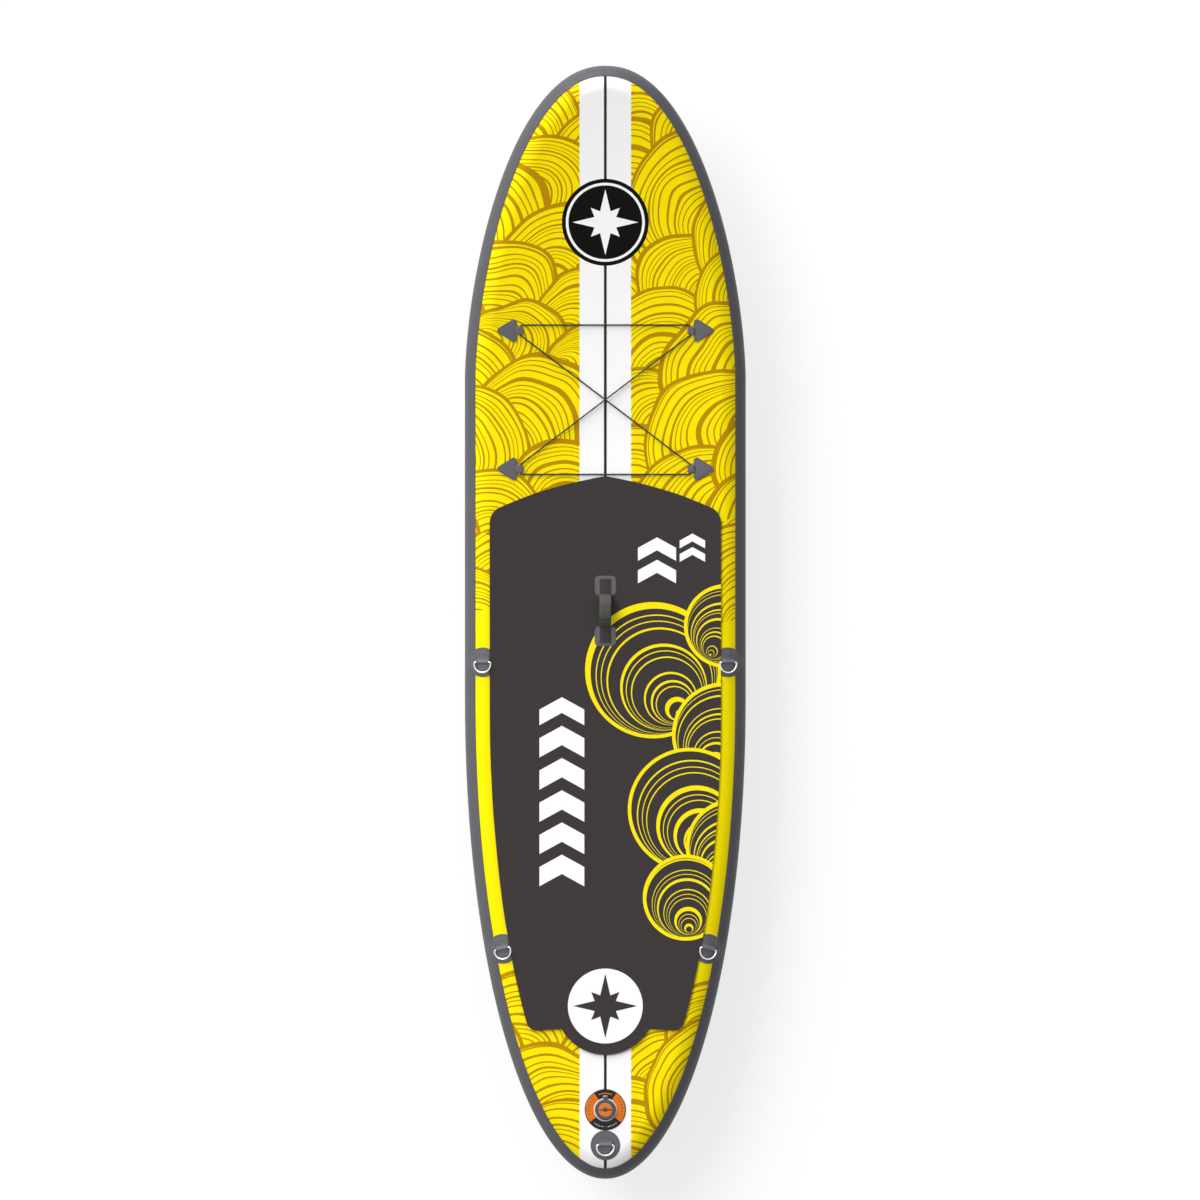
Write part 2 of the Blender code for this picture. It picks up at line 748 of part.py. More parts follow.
def ring_frame(x, y, turn):
    """Matrix at a D-ring's bar: X along the bar, Y to the nose, Z off the hull."""
    reach = 0.008
    angle = math.radians(turn)
    bar = Vector((math.cos(angle), math.sin(angle)))
    ahead = Vector((-bar.y, bar.x))

    def slope(step):
        rise = cover_height(x + step.x, y + step.y) - cover_height(x - step.x, y - step.y)
        return Vector((2 * step.x, 2 * step.y, rise))

    across = slope(bar * reach).normalized()
    along = slope(ahead * reach)
    along = (along - across * along.dot(across)).normalized()
    up = across.cross(along)
    lift = 2 * SKIN + GAP + BAR_HEIGHT
    matrix = Matrix((across, along, up)).transposed().to_4x4()
    matrix.translation = Vector((x, y, cover_height(x, y))) + up * lift
    return matrix


def ring_points():
    """The D-ring's middle line: a straight bar on X and a bow towards -Y."""
    half = (RING_WIDTH - RING_WIRE) / 2
    depth = RING_DEPTH - RING_WIRE
    corner = RING_CORNER
    points = [(half - corner, 0.0, 0.0)]
    points += [(x, y, 0.0) for x, y in arc((half - corner, -corner), corner, 60, 0, 2)]
    for i in range(1, 12):
        a = math.pi * i / 12
        points.append((half * math.cos(a), -corner - (depth - corner) * math.sin(a) ** 0.9, 0.0))
    points += [(x, y, 0.0) for x, y in arc((-half + corner, -corner), corner, 180, 120, 2)]
    points += [(-half + corner, 0.0, 0.0)]
    return points


patch_stock = cover("patch_stock", 0.0, SKIN, 1)
strap_stock = cover("strap_stock", SKIN + GAP, SKIN, 1)
under_stock = cover("under_stock", SKIN + GAP + SKIN / 2, 0.015, -1)


def disc_cutter(name, x, y, radius):
    """An upright cylinder over the place, cut off along the pad's edge."""
    bm = rod(radius, (x, y, 0.03), (x, y, THICKNESS + 0.08), 30)
    if x != 0.0:
        step = 0.02
        side = math.copysign(1.0, x)
        a = Vector((side * pad_edge(y - step), y - step, 0.0))
        b = Vector((side * pad_edge(y + step), y + step, 0.0))
        along = (b - a).normalized()
        inwards = Vector((-side * along.y, side * along.x, 0.0))
        beside_pad = (a + b) / 2 - inwards * 2 * GAP
        cut = bmesh.ops.bisect_plane(
            bm, geom=everything(bm), plane_co=beside_pad, plane_no=inwards, clear_outer=True,
        )
        edges = [e for e in cut["geom_cut"] if isinstance(e, bmesh.types.BMEdge)]
        bmesh.ops.holes_fill(bm, edges=edges, sides=0)
    return tool(name, bm)


def copy_of(stock, name, kind):
    """A sub-part that starts as the whole layer, to be cut down."""
    made = part(name, stock.data.copy(), kind)
    mirror(made)
    source = stock.modifiers["thickness"]
    solidify(made, source.thickness, source.offset)
    return made


def d_ring_set(name, x, y, turn):
    """Patch, sewn strap with its loop, and ring."""
    matrix = ring_frame(x, y, turn)
    patch = copy_of(patch_stock, f"d_ring_patch_{name}", "grey")
    boolean(patch, disc_cutter(f"patch_disc_{name}", x, y, PATCH_RADIUS), "INTERSECT")

    foot = LOOP_RADIUS + GAP
    arch = arc((0.0, 0.0), LOOP_RADIUS, 0, 180, 8) + [(-foot, -LOOP_FOOT), (foot, -LOOP_FOOT)]
    loop = plate([arch], STRAP_LOOP_WIDTH, -STRAP_LOOP_WIDTH / 2)
    bmesh.ops.transform(loop, verts=loop.verts, matrix=ON_EDGE)
    hump = tool(f"loop_{name}", loop)
    hump.matrix_world = matrix
    boolean(hump, under_stock)
    strap_piece = copy_of(strap_stock, f"d_ring_strap_{name}", "grey")
    boolean(strap_piece, disc_cutter(f"strap_disc_{name}", x, y, STRAP_RADIUS), "INTERSECT")
    boolean(strap_piece, hump, "UNION")
    reach = STRAP_LOOP_WIDTH / 2 + 0.0065
    bore = tool(f"loop_bore_{name}", rod(LOOP_BORE, (-reach, 0, 0), (reach, 0, 0), 16))
    bore.matrix_world = matrix
    boolean(strap_piece, bore)

    ring = tube(f"d_ring_{name}", ring_points(), RING_WIRE, "steel", closed=True)
    ring.matrix_world = matrix @ Matrix.Rotation(math.radians(RING_REST_TILT), 4, "X")


for ring_name, (ring_x, ring_y, ring_turn) in D_RINGS.items():
    d_ring_set(ring_name, ring_x, ring_y, ring_turn)


# Bungee

def anchor_outline(side, y):
    """A rounded arrow head that points to the rail, about the anchor's place."""
    tip = (ANCHOR_TIP - ANCHOR_TIP_ROUND, 0.0)
    shoulder = ANCHOR_SHOULDER - 0.002
    wide = ANCHOR_HALF_WIDTH - ANCHOR_SHOULDER_ROUND
    points = arc(tip, ANCHOR_TIP_ROUND, -55, 55, 4)
    points += arc((shoulder, wide), ANCHOR_SHOULDER_ROUND, 55, 150, 4)
    points += [(ANCHOR_BACK, ANCHOR_BACK_HALF_WIDTH), (ANCHOR_BACK, -ANCHOR_BACK_HALF_WIDTH)]
    points += arc((shoulder, -wide), ANCHOR_SHOULDER_ROUND, 210, 305, 4)
    return [(side * px, y + py) for px, py in points]


def anchor(name, side, y):
    """A welded arrow-shaped patch, with a tab that the cord passes through."""
    flat = settle(plate([anchor_outline(side, y)], ANCHOR_THICKNESS, THICKNESS + GAP))
    made = solid(name, flat, "grey")
    length, width, height = ANCHOR_TAB
    tab_x = side * (ANCHOR_TAB_X + ANCHOR_TAB_OVERLAP / 2)
    tab_z = THICKNESS + GAP + ANCHOR_TAB_LIFT + height / 2
    tab = box((length + ANCHOR_TAB_OVERLAP, width, height), (tab_x, y, tab_z))
    for vert in tab.verts:
        vert.co.z += deck_line_rocker(vert.co.y)
    boolean(made, tool(f"tab_{name}", tab), "UNION")
    reach = width
    slope = (cord_height(y + width / 2) - cord_height(y - width / 2)) / width
    x, z = side * ANCHOR_TAB_X, cord_height(y)
    start, end = (x, y - reach, z - slope * reach), (x, y + reach, z + slope * reach)
    boolean(made, tool(f"tab_bore_{name}", rod(CORD / 2 + 2 * GAP, start, end, 12)))


def cord_height(y):
    """Height of the cord's middle line where it passes through a tab."""
    return THICKNESS + GAP + CORD_LIFT + deck_line_rocker(y)


def cord_turn(side, y, facing):
    """Out of a tab towards the end of the panel, and a quarter turn to the middle."""
    x = side * ANCHOR_TAB_X
    half = ANCHOR_TAB[1] / 2
    straight = half + 0.0008
    middle_x, middle_y = x - side * CORD_BEND, y + facing * straight
    flat = [(x, y + facing * half * 0.5), (x, middle_y)]
    for i in range(1, 5):
        a = math.radians(90 * i / 4)
        across, along = CORD_BEND * math.cos(a), CORD_BEND * math.sin(a)
        flat.append((middle_x + side * across, middle_y + facing * along))
    return [(px, py, cord_height(py)) for px, py in flat]


def cord_strand(start, finish, lift):
    """A slanting strand between two tabs, lifted or lowered at its middle."""
    (ax, ay), (bx, by) = start, finish
    out = []
    for share, part_of_lift in (
        (0.0, 0.0), (0.012, 0.0), (0.44, 0.75), (0.5, 1.0), (0.56, 0.75), (0.988, 0.0), (1.0, 0.0),
    ):
        z = cord_height(ay) + (cord_height(by) - cord_height(ay)) * share + lift * part_of_lift
        out.append((ax + (bx - ax) * share, ay + (by - ay) * share, z))
    return out


def bungee_route():
    """The closed loop of cord through the four tabs, with two strands that cross."""
    front, rear = ANCHOR_ROWS
    x = ANCHOR_TAB_X
    inner = ANCHOR_TAB[1] / 2 + 0.002
    front_inner, rear_inner = front - inner, rear + inner
    points = cord_turn(-1, front, 1)
    points += reversed(cord_turn(1, front, 1))
    points += cord_strand((x, front_inner), (-x, rear_inner), CORD_HUMP)
    points += cord_turn(-1, rear, -1)
    points += reversed(cord_turn(1, rear, -1))
    points += cord_strand((x, rear_inner), (-x, front_inner), -CORD_HUMP)
    return points


for anchor_row, anchor_y in zip(("front", "rear"), ANCHOR_ROWS):
    for side_name, side in (("right", 1), ("left", -1)):
        anchor(f"bungee_anchor_{anchor_row}_{side_name}", side, anchor_y)
tube("bungee_cord", bungee_route(), CORD, "elastic", closed=True)


# Valve, about its own axis, with the deck's surface at height 0

VALVE = axis("valve_axis", (0.0, VALVE_Y, THICKNESS))
CAP_AXIS = axis("valve_cap_axis", (0.0, CAP_HINGE, CAP_HINGE_HEIGHT), VALVE)


def ring_profile(inner, outer, low, high):
    """A closed profile of a flat ring."""
    return [(outer, high), (outer, low), (inner, low), (inner, high)]


def around(count, radius, height):
    """Angles in degrees and places of pieces that repeat round the valve or the screw."""
    for i in range(count):
        degrees = 360 * i / count
        yield i, degrees, Matrix.Rotation(math.radians(degrees), 4, "Z") @ Vector((radius, 0.0, height))


def valve_seat():
    """The hole in the deck, the printed label, the gasket and the lock nut inside."""
    boolean(deck_skin, tool("valve_hole", rod(NECK_HOLE, (0, 0, -0.02), (0, 0, 0.02), 32), VALVE))
    label = ring_profile(COLLAR_RADIUS + 2 * GAP, LABEL_RADIUS, *LABEL)
    turned("valve_label", label, "label", VALVE, 32)
    turned("valve_gasket", ring_profile(NECK_RADIUS + GAP, GASKET_RADIUS, *GASKET), "rubber", VALVE)
    top = -SKIN - 2 * GAP
    profile = ring_profile(NECK_RADIUS + GAP, NUT_RADIUS, top - NUT_HEIGHT, top)
    nut = turned("valve_nut", profile, "black_plastic", VALVE)
    for i, degrees, place in around(6, NUT_NOTCH_RADIUS, top - NUT_HEIGHT / 2):
        boolean(nut, tool(f"nut_notch_{i}", box(NUT_NOTCH, place, degrees), VALVE))


def valve_body():
    """The flange and neck, with a spider across the bore that guides the stem."""
    low, high = FLANGE
    body = turned("valve_body", [
        (FLANGE_RADIUS, high), (FLANGE_RADIUS, low), (NECK_RADIUS, low),
        (NECK_RADIUS, -NECK_DEPTH), (BORE_RADIUS, -NECK_DEPTH), (BORE_RADIUS, high),
    ], "white", VALVE)
    hub_low, hub_high = HUB
    spider = tool("valve_spider", rod(HUB_RADIUS, (0, 0, hub_low), (0, 0, hub_high), 16), VALVE)
    for i, degrees, place in around(3, ARM_RADIUS, (hub_low + hub_high) / 2):
        boolean(spider, tool(f"valve_arm_{i}", box(ARM, place, degrees), VALVE), "UNION")
    boolean(body, spider, "UNION")
    shaft = rod(STEM_RADIUS + 2 * GAP, (0, 0, hub_low - 0.0055), (0, 0, hub_high + 0.0055), 16)
    boolean(body, tool("valve_shaft_hole", shaft, VALVE))


def valve_stem():
    """The stem with its push button and seal disc, and the spring that holds it up."""
    low, top = STEM
    seal_top = -NECK_DEPTH - GAP
    washer_top = seal_top + 0.0012
    foot_top = seal_top - SEAL - GAP
    stem = turned("valve_stem", [
        (0.0, top), (STEM_HEAD_RADIUS, top),
        (STEM_HEAD_RADIUS, top - STEM_HEAD), (STEM_RADIUS, top - STEM_HEAD),
        (STEM_RADIUS, washer_top), (STEM_WASHER_RADIUS, washer_top),
        (STEM_WASHER_RADIUS, seal_top + GAP), (STEM_RADIUS, seal_top + GAP),
        (STEM_RADIUS, foot_top), (STEM_FOOT_RADIUS, foot_top),
        (STEM_FOOT_RADIUS, low), (0.0, low),
    ], "white", VALVE, 20)
    boolean(stem, tool("stem_bar", box(STEM_BAR, (0, 0, top + 0.0004)), VALVE), "UNION")
    seal = ring_profile(STEM_RADIUS + GAP, SEAL_RADIUS, seal_top - SEAL, seal_top)
    turned("valve_seal", seal, "rubber", VALVE)

    clear = SPRING_WIRE / 2 + 0.0004
    start, end = HUB[1] + clear, top - STEM_HEAD - clear
    steps = int(SPRING_TURNS * 8)
    coil = []
    for i in range(steps + 1):
        a = math.radians(360 * i / 8)
        height = start + (end - start) * i / steps
        coil.append((SPRING_RADIUS * math.cos(a), SPRING_RADIUS * math.sin(a), height))
    tube("valve_spring", coil, SPRING_WIRE, "steel", resolution=1, parent=VALVE)


def valve_cap():
    """The collar that turns round the flange, and the cap that is hinged to its lug."""
    profile = ring_profile(FLANGE_RADIUS + 2 * GAP, COLLAR_RADIUS, *COLLAR)
    collar = turned("valve_cap_ring", profile, "white", VALVE, 32)
    lug_middle = (0.0, CAP_HINGE - 0.0002 - COLLAR_LUG[1] / 2, COLLAR[0] + COLLAR_LUG[2] / 2)
    boolean(collar, tool("collar_lug", box(COLLAR_LUG, lug_middle), VALVE), "UNION")

    from_hinge = Vector((0.0, -CAP_HINGE, -CAP_HINGE_HEIGHT))
    low, high = CAP
    plug_top = low + 0.0018
    cap = turned("valve_cap", [
        (0.0, high), (CAP_RADIUS - 0.0030, high), (CAP_RADIUS, high - 0.0020), (CAP_RADIUS, low),
        (PLUG_RADIUS, low), (PLUG_RADIUS - 0.0006, PLUG_LOW), (PLUG_RADIUS - 0.0022, PLUG_LOW),
        (PLUG_RADIUS - 0.0026, plug_top), (0.0, plug_top),
    ], "grey", CAP_AXIS, 32)
    cap.location = from_hinge
    ear_y = CAP_HINGE - 0.0005 - CAP_EAR[1] / 2
    ear = tool("cap_ear", box(CAP_EAR, (0.0, ear_y, CAP_HINGE_HEIGHT + 0.0002 + CAP_EAR[2] / 2)), CAP_AXIS)
    ear.location = from_hinge
    boolean(cap, ear, "UNION")


valve_seat()
valve_body()
valve_stem()
valve_cap()


# Fins, drawn with the board's length on X and its height on Y, then stood on edge

def bow(first, middle, last, steps):
    """Points on a quadratic curve."""
    points = []
    for i in range(steps + 1):
        t = i / steps
        shares = ((1 - t) ** 2, 2 * t * (1 - t), t * t)
        points.append(tuple(
            sum(share * corner[k] for share, corner in zip(shares, (first, middle, last)))
            for k in range(2)
        ))
    return points


def blade(base, root, thickness):
    """A swept fin blade: its root is at the height root and its tip at FIN_DEPTH."""
    depth = FIN_DEPTH + root
    front, back = (base / 2, root), (-base / 2, root)
    tip_front, tip_back = (-0.50 * base, -FIN_DEPTH), (-0.60 * base, -FIN_DEPTH + 0.005)
    points = bow(front, (0.10 * base, root - 0.86 * depth), tip_front, 9)
    points += bow(tip_front, (-0.60 * base, -FIN_DEPTH), tip_back, 3)[1:]
    points += bow(tip_back, (-0.36 * base, root - 0.42 * depth), back, 6)[1:]
    bm = plate([points], thickness, -thickness / 2)
    bmesh.ops.transform(bm, verts=bm.verts, matrix=ON_EDGE)
    return bm


def side_fin(side_name, side):
    """A fixed fin, set in a soft base that is glued to the hull."""
    middle = axis(f"side_fin_{side_name}_middle", (side * SIDE_FIN_X, SIDE_FIN_Y, 0.0))
    width, length, height = SIDE_FOOT
    low = -GAP - height
    foot = plate([rounded_box((width, length), (0.0, 0.0), 0.018)], height, low)
    base = solid(f"side_fin_base_{side_name}", foot, "black_plastic", middle)
    width, length, height = SIDE_RIDGE
    ridge_top = low + 0.001
    ridge = plate([rounded_box((width, length), (0.0, 0.0), 0.007)], height, ridge_top - height)
    boolean(base, tool(f"ridge_{side_name}", ridge, middle), "UNION")
    slot_top = ridge_top - SIDE_SLOT_DEPTH
    slot_size = (SIDE_FIN_THICKNESS + 2 * GAP, SIDE_FIN_BASE + 2 * GAP, 0.030)
    slot = box(slot_size, (0.0, 0.0, slot_top - slot_size[2] / 2))
    boolean(base, tool(f"side_slot_{side_name}", slot, middle))
    shape = blade(SIDE_FIN_BASE, slot_top - GAP, SIDE_FIN_THICKNESS)
    fin = solid(f"side_fin_{side_name}", shape, "black_plastic", middle)
    bevel(fin, 0.0016, 1, 60)


FIN_PATCH_LOW = -GAP - SKIN
FIN_BOX_TOP = FIN_PATCH_LOW - GAP
FIN_BOX_LOW = FIN_BOX_TOP - FIN_BOX[2]
GROOVE_MIDDLE = FIN_BOX_LOW + FIN_GROOVE_HEIGHT
FIN_BACK = -(FIN_TAB_LENGTH + FIN_LUG[0]) / 2
FIN_FRONT = FIN_BACK + FIN_TAB_LENGTH
PIN_Y = FIN_BACK + FIN_PIN_INSET
SCREW_Y = FIN_FRONT + FIN_LUG[0] / 2
FIN_MIDDLE = axis("fin_box_middle", (0.0, FIN_BOX_MIDDLE, 0.0))
SCREW_AXIS = axis("fin_screw_axis", (0.0, SCREW_Y, 0.0), FIN_MIDDLE)


def fin_box():
    """The box under the hull, with a slot for the fin and a groove for its pin and plate."""
    width, length, height = FIN_BOX
    border = 2 * FIN_PATCH_BORDER
    patch = rounded_box((width + border, length + border), (0.0, 0.0), 0.030)
    solid("fin_box_patch", plate([patch], SKIN, FIN_PATCH_LOW), "grey", FIN_MIDDLE)
    shape = plate([rounded_box((width, length), (0.0, 0.0), FIN_BOX_CORNER)], height, FIN_BOX_LOW)
    made = solid("fin_box", shape, "black_plastic", FIN_MIDDLE)
    bevel(made, 0.003, 2, 60)
    width, length, height = FIN_SLOT
    below = 0.010
    slot = box((width, length, height + below), (0.0, 0.0, FIN_BOX_LOW + (height - below) / 2))
    boolean(made, tool("fin_slot", slot, FIN_MIDDLE))
    groove = box(FIN_GROOVE, (0.0, 0.0, GROOVE_MIDDLE))
    boolean(made, tool("fin_groove", groove, FIN_MIDDLE))


def centre_fin():
    """The blade with its tab in the slot and a lug for the screw."""
    width = FIN_SLOT[0] - 0.0008
    height = FIN_SLOT[2] - 0.0012
    middle = (FIN_BACK + FIN_FRONT) / 2
    shape = blade(CENTRE_FIN_BASE, FIN_BOX_LOW + 0.0015, CENTRE_FIN_THICKNESS)
    bmesh.ops.translate(shape, verts=shape.verts, vec=(0.0, middle, 0.0))
    fin = solid("centre_fin", shape, "black_plastic", FIN_MIDDLE)
    bevel(fin, 0.0018, 1, 60)
    tab = box((width, FIN_TAB_LENGTH, height), (0.0, middle, FIN_BOX_LOW + height / 2))
    boolean(fin, tool("fin_tab", tab, FIN_MIDDLE), "UNION")
    lug_length, lug_height = FIN_LUG
    overlap = 0.002
    lug_size = (width - 0.0002, lug_length + overlap, lug_height)
    lug = box(lug_size, (0.0, SCREW_Y - overlap / 2, FIN_BOX_LOW + 0.0001 + lug_height / 2))
    boolean(fin, tool("fin_lug", lug, FIN_MIDDLE), "UNION")
    pin_hole = rod(FIN_PIN_RADIUS + GAP, (-0.02, PIN_Y, GROOVE_MIDDLE), (0.02, PIN_Y, GROOVE_MIDDLE), 16)
    boolean(fin, tool("fin_pin_hole", pin_hole, FIN_MIDDLE))
    screw_hole = rod(SHANK_RADIUS + 2 * GAP, (0, 0, FIN_BOX_LOW - 0.01), (0, 0, FIN_BOX_LOW + 0.02), 16)
    boolean(fin, tool("fin_screw_hole", screw_hole, SCREW_AXIS))


def fin_fasteners():
    """The pin through the fin's tail, the plate in the groove, and the thumb screw."""
    half = FIN_PIN_LENGTH / 2
    pin = rod(FIN_PIN_RADIUS, (-half, PIN_Y, GROOVE_MIDDLE), (half, PIN_Y, GROOVE_MIDDLE), 16)
    solid("fin_pin", pin, "brass", FIN_MIDDLE)
    nut = solid("fin_plate", box(FIN_PLATE, (0.0, 0.0, GROOVE_MIDDLE)), "brass", SCREW_AXIS)
    hole = rod(SHANK_RADIUS + GAP, (0, 0, GROOVE_MIDDLE - 0.01), (0, 0, GROOVE_MIDDLE + 0.01), 16)
    boolean(nut, tool("fin_plate_hole", hole, SCREW_AXIS))
    shank_top = GROOVE_MIDDLE + SHANK_TOP
    head_top = FIN_BOX_LOW - GAP
    head_low = head_top - SCREW_HEAD
    screw = turned("fin_screw", [
        (0.0, shank_top), (SHANK_RADIUS, shank_top), (SHANK_RADIUS, head_top),
        (SCREW_HEAD_RADIUS, head_top), (SCREW_HEAD_RADIUS, head_low), (0.0, head_low),
    ], "black_plastic", SCREW_AXIS, 20)
    notch_top = head_top - 0.0018
    for i, _, place in around(6, SCREW_HEAD_RADIUS + 0.0015, notch_top):
        notch = rod(0.0026, place, (place.x, place.y, head_low - 0.012), 8)
        boolean(screw, tool(f"screw_notch_{i}", notch, SCREW_AXIS))


side_fin("right", 1)
side_fin("left", -1)
fin_box()
centre_fin()
fin_fasteners()
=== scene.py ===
"""Looks of an inflatable stand-up paddle board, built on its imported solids.

Metres, in the solids' frame: +Z up, +Y to the nose, +X to the right of someone on the deck.
"""

import json
import math

import bmesh
import bpy
import numpy as np
from mathutils import Matrix, Vector


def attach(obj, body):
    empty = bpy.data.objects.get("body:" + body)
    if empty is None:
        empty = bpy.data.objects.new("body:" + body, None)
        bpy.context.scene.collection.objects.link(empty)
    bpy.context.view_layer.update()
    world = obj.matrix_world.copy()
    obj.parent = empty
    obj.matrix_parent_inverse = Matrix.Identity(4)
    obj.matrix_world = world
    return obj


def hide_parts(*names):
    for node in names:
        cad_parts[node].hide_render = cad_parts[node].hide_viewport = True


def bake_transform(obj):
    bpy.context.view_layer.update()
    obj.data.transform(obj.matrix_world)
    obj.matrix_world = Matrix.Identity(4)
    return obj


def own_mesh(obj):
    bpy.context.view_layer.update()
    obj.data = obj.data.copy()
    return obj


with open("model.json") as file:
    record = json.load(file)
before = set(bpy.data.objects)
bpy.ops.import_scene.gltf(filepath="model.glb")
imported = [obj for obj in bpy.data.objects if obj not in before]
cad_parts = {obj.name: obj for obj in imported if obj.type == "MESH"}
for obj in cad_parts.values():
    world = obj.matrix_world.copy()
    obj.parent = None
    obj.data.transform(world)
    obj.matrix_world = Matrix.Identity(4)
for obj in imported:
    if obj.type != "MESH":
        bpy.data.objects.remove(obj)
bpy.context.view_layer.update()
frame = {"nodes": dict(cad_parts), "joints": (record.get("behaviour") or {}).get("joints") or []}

# Hull, as the solids have it
LENGTH = 2.972
WIDTH = 0.750
THICKNESS = 0.150
NOSE_START = 0.650
TAIL_START = -0.200
NOSE_POWERS = (1.65, 2.15)
TAIL_POWERS = (2.05, 2.00)
NOSE_ROCKER_START = 0.300
NOSE_RISE = 0.130
NOSE_ROCKER_POWER = 2.2
SIDE_RADIUS = 0.068
SKIN = 0.0012
GAP = 0.0003
PROUD = SKIN + GAP
ON_DECK = THICKNESS + GAP      # height of what is glued to the deck's flat middle
SEAM_ANGLE = 30
BAND_WIDTH = 0.0285
BAND_ANGLE = math.degrees(math.acos(1 - (BAND_WIDTH - PROUD) / SIDE_RADIUS))
BAND_OUT = 2 * GAP + SKIN
BAND_RUN_OUT = 4.0
TAPE_BUTT = 0.00006

# Deck pad
PAD_THICKNESS = 0.005
PAD_ROUNDING = 0.0014
PAD_HALF_WIDTH = 0.3087
PAD_REAR = -1.090
PAD_BULGE_CENTRE = -1.0215
PAD_BULGE_RADIUS = 0.1333
PAD_FRONT = ((0.0, 0.390), (0.02, 0.3868), (0.08, 0.3740), (0.14, 0.3586), (0.20, 0.3398), (0.255, 0.3180))
PAD_SIDE = (
    (PAD_HALF_WIDTH, -0.190), (0.3083, -0.272), (0.3072, -0.345), (0.3040, -0.425),
    (0.2978, -0.528), (0.2858, -0.656), (0.2744, -0.752), (0.2645, -0.816), (0.2452, -0.923),
    (0.2261, -1.008), (0.2150, -1.051),
)

# Carry handle
HANDLE_PATCH = (0.056, 0.052)
HANDLE_PATCH_CORNER = 0.010
HANDLE_PATCH_THICKNESS = 0.0056
HANDLE_FRONT = 0.0980
HANDLE_REAR = -0.0366
WEBBING_WIDTH = 0.0316
WEBBING = 0.0018
WEBBING_INSET = 0.026
WEBBING_SEWN = 0.018
FOOT_REACH = 0.0085            # how far the webbing's turn at its foot spreads
HANDLE_RISE = 0.031
GRIP_THICKNESS = 0.0085
LEG_SHARE = 0.30
GRIP_SHARE = 0.34
WEBBING_HALF_GIRTH = 0.0329
WEBBING_FLAT = 0.040           # length of each sewn end

# D-ring sets: place of the bar on the deck
D_RINGS = {
    "front_right": (0.3265, -0.1065),
    "front_left": (-0.3265, -0.1065),
    "rear_right": (0.2737, -0.8715),
    "rear_left": (-0.2737, -0.8715),
    "tail": (0.0, -1.3960),
}
PATCH_RADIUS = 0.0395
STRAP_RADIUS = 0.024
STRAP_LOOP_WIDTH = 0.035
STRAP_LOOP_RADIUS = 0.0036
STRAP_FOOT = ((-0.0105, 0.0007), (-0.0080, 0.0007), (-0.0060, 0.0012), (-0.0046, 0.0024))
RING_WIRE = 0.0046
RING_WIDTH = 0.0506
RING_DEPTH = 0.032
RING_CORNER = 0.0035
BAR_HEIGHT = 0.0026

# Bungee
ANCHOR_ROWS = {"front": 0.7788, "rear": 0.4096}
ANCHOR_TAB_X = 0.2270
ANCHOR_TAB = (0.015, 0.020, 0.0064)
ANCHOR_THICKNESS = 0.0024
ANCHOR_TIP = 0.2886
ANCHOR_BACK = 0.2360
ANCHOR_CORNER = 0.0085
ANCHOR_HALF_WIDTH = 0.0303
CORD_LIFT = 0.0036
CORD = 0.004
CORD_BEND = 0.004
CORD_HUMP = 0.0023

# Valve, with the deck's surface at height 0
VALVE_Y = -1.3014
VALVE = (0.0, VALVE_Y, THICKNESS)
LABEL_RADIUS = 0.055
FLANGE_RADIUS = 0.0272
NECK_RADIUS = 0.0215
NECK_DEPTH = 0.034
BORE_RADIUS = 0.0165
COLLAR_RADIUS = 0.031
COLLAR = (0.0014, 0.0036)
CAP_RADIUS = 0.028
CAP_HINGE = 0.0365
CAP_HINGE_HEIGHT = 0.0054
PLUG_RADIUS = 0.0150
STEM_RADIUS = 0.0030
STEM_HEAD_RADIUS = 0.0080
SEAL_RADIUS = 0.0195
SEAL_TOP = -NECK_DEPTH - GAP
SEAL_THICKNESS = 0.0021
SPRING = (-0.0197, -0.0060)
SPRING_RADIUS = 0.0052
SPRING_WIRE = 0.0008
SPRING_TURNS = 4.5

# Fins
FIN_DEPTH = 0.115
FIN_BOX_MIDDLE = -1.070
FIN_BOX_LOW = -GAP - SKIN - GAP - 0.022
FIN_PATCH = (0.096, 0.300)
CENTRE_FIN_BASE = 0.134
CENTRE_FIN_THICKNESS = 0.0070
FIN_TAB_LENGTH = 0.150
FIN_LUG = (0.024, 0.0045)
SIDE_FIN_X = 0.155
SIDE_FIN_Y = -0.960
SIDE_FIN_BASE = 0.125
SIDE_FIN_THICKNESS = 0.0060
SIDE_SLOT_TOP = -0.0073

# Printed marks
STRIPE_HALF_WIDTH = 0.0688
CENTRE_LINE_HALF_WIDTH = 0.0038
NOSE_MARK_Y = 1.068
PAD_MARK_Y = -1.0245
SCALE_COLUMN = 0.250
SCALE_ROW = 0.138
SCALE_RADIUS = (0.138, 0.195)
SCALE_JITTER = 0.042
PLAIN_LEFT = (-1.07, -0.07)      # lowest and highest scale that is left out beside the pad
PLAIN_RIGHT = (-0.93, 0.07)
PAD_DISCS = (                    # x, y, radius, tilt, and whether it is drawn
    (0.128, -0.128, 0.182, 0.55, 1.0),
    (0.322, -0.010, 0.112, -0.5, 1.0),
    (0.318, -0.300, 0.140, -0.3, 1.0),
    (0.225, -0.500, 0.165, 0.4, 1.0),
    (0.345, -0.600, 0.130, -0.5, 1.0),
    (0.215, -0.735, 0.115, 0.1, 1.0),
)

# Mesh tools

def having(thing, **settings):
    """The thing with its settings."""
    for name, value in settings.items():
        setattr(thing, name, value)
    return thing

def linked(name, data):
    """An object in the scene."""
    made = bpy.data.objects.new(name, data)
    bpy.context.scene.collection.objects.link(made)
    return made

def shade(made, sharp=35):
    """Smooth shading with sharp edges over an angle."""
    made.data.shade_smooth()
    made.data.set_sharp_from_angle(angle=math.radians(sharp))
    return made

